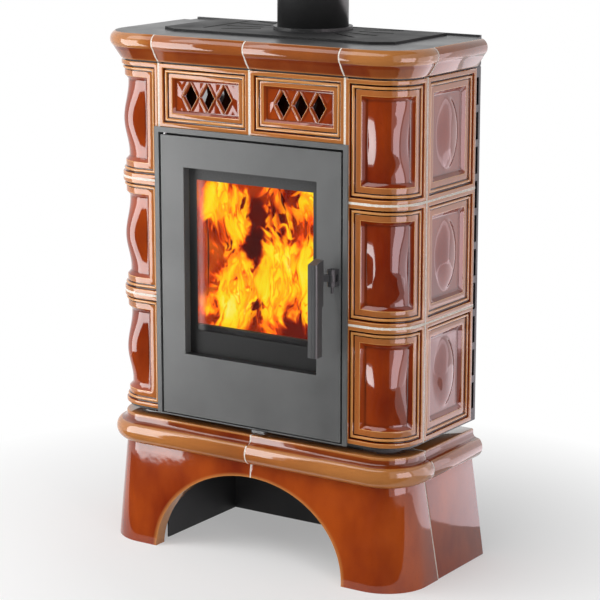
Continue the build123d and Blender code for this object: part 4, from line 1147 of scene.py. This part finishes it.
def make_world():
    """A white world that lights the stove only faintly."""
    world = bpy.data.worlds.new("studio")
    world.use_nodes = True
    tree = world.node_tree
    tree.nodes.clear()

    def white(strength):
        background = tree.nodes.new("ShaderNodeBackground")
        background.inputs["Color"].default_value = (1, 1, 1, 1)
        background.inputs["Strength"].default_value = strength
        return background.outputs[0]

    path = tree.nodes.new("ShaderNodeLightPath")
    shown = white(0.30)
    for ray in ("Is Glossy Ray", "Is Transmission Ray", "Is Camera Ray"):
        mix = tree.nodes.new("ShaderNodeMixShader")
        tree.links.new(path.outputs[ray], mix.inputs[0])
        tree.links.new(shown, mix.inputs[1])
        tree.links.new(white(1.0), mix.inputs[2])
        shown = mix.outputs[0]
    out = tree.nodes.new("ShaderNodeOutputWorld")
    tree.links.new(shown, out.inputs["Surface"])
    return world


def lamp(name, place, aim, width, height, energy, colour=(1, 1, 1), lights=True, shines=True):
    """An area lamp that lights the stove, is mirrored in it, or both."""
    light = bpy.data.lights.new(name, "AREA")
    light.shape = "RECTANGLE"
    light.size = width
    light.size_y = height
    light.energy = energy
    light.color = colour
    holder = bpy.data.objects.new(name, light)
    holder.location = place
    holder.rotation_euler = (Vector(aim) - Vector(place)).to_track_quat("-Z", "Y").to_euler()
    holder.visible_camera = False
    holder.visible_diffuse = lights
    holder.visible_glossy = shines
    bpy.context.scene.collection.objects.link(holder)


def make_camera():
    """The camera that was fitted to the photograph, turned down and round in degrees."""
    down, round_right = 12.617, 33.42
    camera = bpy.data.cameras.new("camera")
    camera.lens = 135.05
    camera.sensor_width = 36
    holder = bpy.data.objects.new("camera", camera)
    holder.location = (2.595, -3.878, 1.593)
    holder.rotation_euler = (radians(90 - down), 0, radians(round_right))
    bpy.context.scene.collection.objects.link(holder)
    return holder


class STOVE_OT_studio(bpy.types.Operator):
    """Set up the floor, the lights and the camera"""

    bl_idname = "stove.studio"
    bl_label = "Studio"

    def execute(self, context):
        scene = context.scene
        make_floor()
        make_curtain()
        scene.world = make_world()
        mauve = (1.0, 0.82, 0.90)
        lamp("left_box", (-1.16, -0.96, 0.70), (0, 0, 0.70), 0.7, 1.38, 11)
        lamp("left_shine", (-1.18, -0.98, 0.70), (0, 0, 0.70), 0.7, 1.38, 8, lights=False)
        lamp("right_box", (1.82, -0.56, 0.72), (0.1, 0, 0.72), 1.0, 1.3, 20, mauve, lights=False)
        lamp("right_wall", (1.75, 0.75, 0.70), (0.1, 0, 0.70), 1.4, 1.3, 10, mauve, lights=False)
        lamp("rear_wall", (1.05, 1.75, 0.70), (0.2, 0, 0.70), 2.0, 1.3, 7, mauve, lights=False)
        lamp("right_floor", (1.20, 1.15, 0.02), (1.20, 1.15, 1.0), 1.6, 1.6, 14, mauve, lights=False)
        lamp("right_fill", (1.9, -1.2, 0.9), (0.1, 0, 0.6), 0.4, 0.8, 9, shines=False)
        lamp("overhead", (-0.4, -1.2, 2.4), (0, 0, 0.7), 2.4, 1.3, 27)
        scene.camera = make_camera()
        scene.view_settings.view_transform = "Standard"
        return {"FINISHED"}


OPERATORS = (
    STOVE_OT_corner_tiles,
    STOVE_OT_side_tiles,
    STOVE_OT_vent_tiles,
    STOVE_OT_mouldings,
    STOVE_OT_base,
    STOVE_OT_flue,
    STOVE_OT_fire,
    STOVE_OT_glass_print,
    STOVE_OT_finishes,
    STOVE_OT_studio,
)


class STOVE_PT_panel(bpy.types.Panel):
    bl_idname = "STOVE_PT_panel"
    bl_label = "Tiled stove"
    bl_space_type = "VIEW_3D"
    bl_region_type = "UI"
    bl_category = "Tiled stove"

    def draw(self, context):
        layout = self.layout
        for group in (context.scene.stove_sizes, context.scene.stove_colours):
            column = layout.column(align=True)
            for name in group.__annotations__:
                column.prop(group, name)
        for operator in OPERATORS:
            layout.operator(operator.bl_idname)


CLASSES = (StoveSizes, StoveColours, *OPERATORS, STOVE_PT_panel)


def register():
    for cls in CLASSES:
        bpy.utils.register_class(cls)
    bpy.types.Scene.stove_sizes = PointerProperty(type=StoveSizes)
    bpy.types.Scene.stove_colours = PointerProperty(type=StoveColours)


def unregister():
    del bpy.types.Scene.stove_colours
    del bpy.types.Scene.stove_sizes
    for cls in reversed(CLASSES):
        bpy.utils.unregister_class(cls)


def main():
    register()
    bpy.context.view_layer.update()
    for operator in OPERATORS:
        group, name = operator.bl_idname.split(".")
        getattr(getattr(bpy.ops, group), name)()


if __name__ == "__main__":
    main()
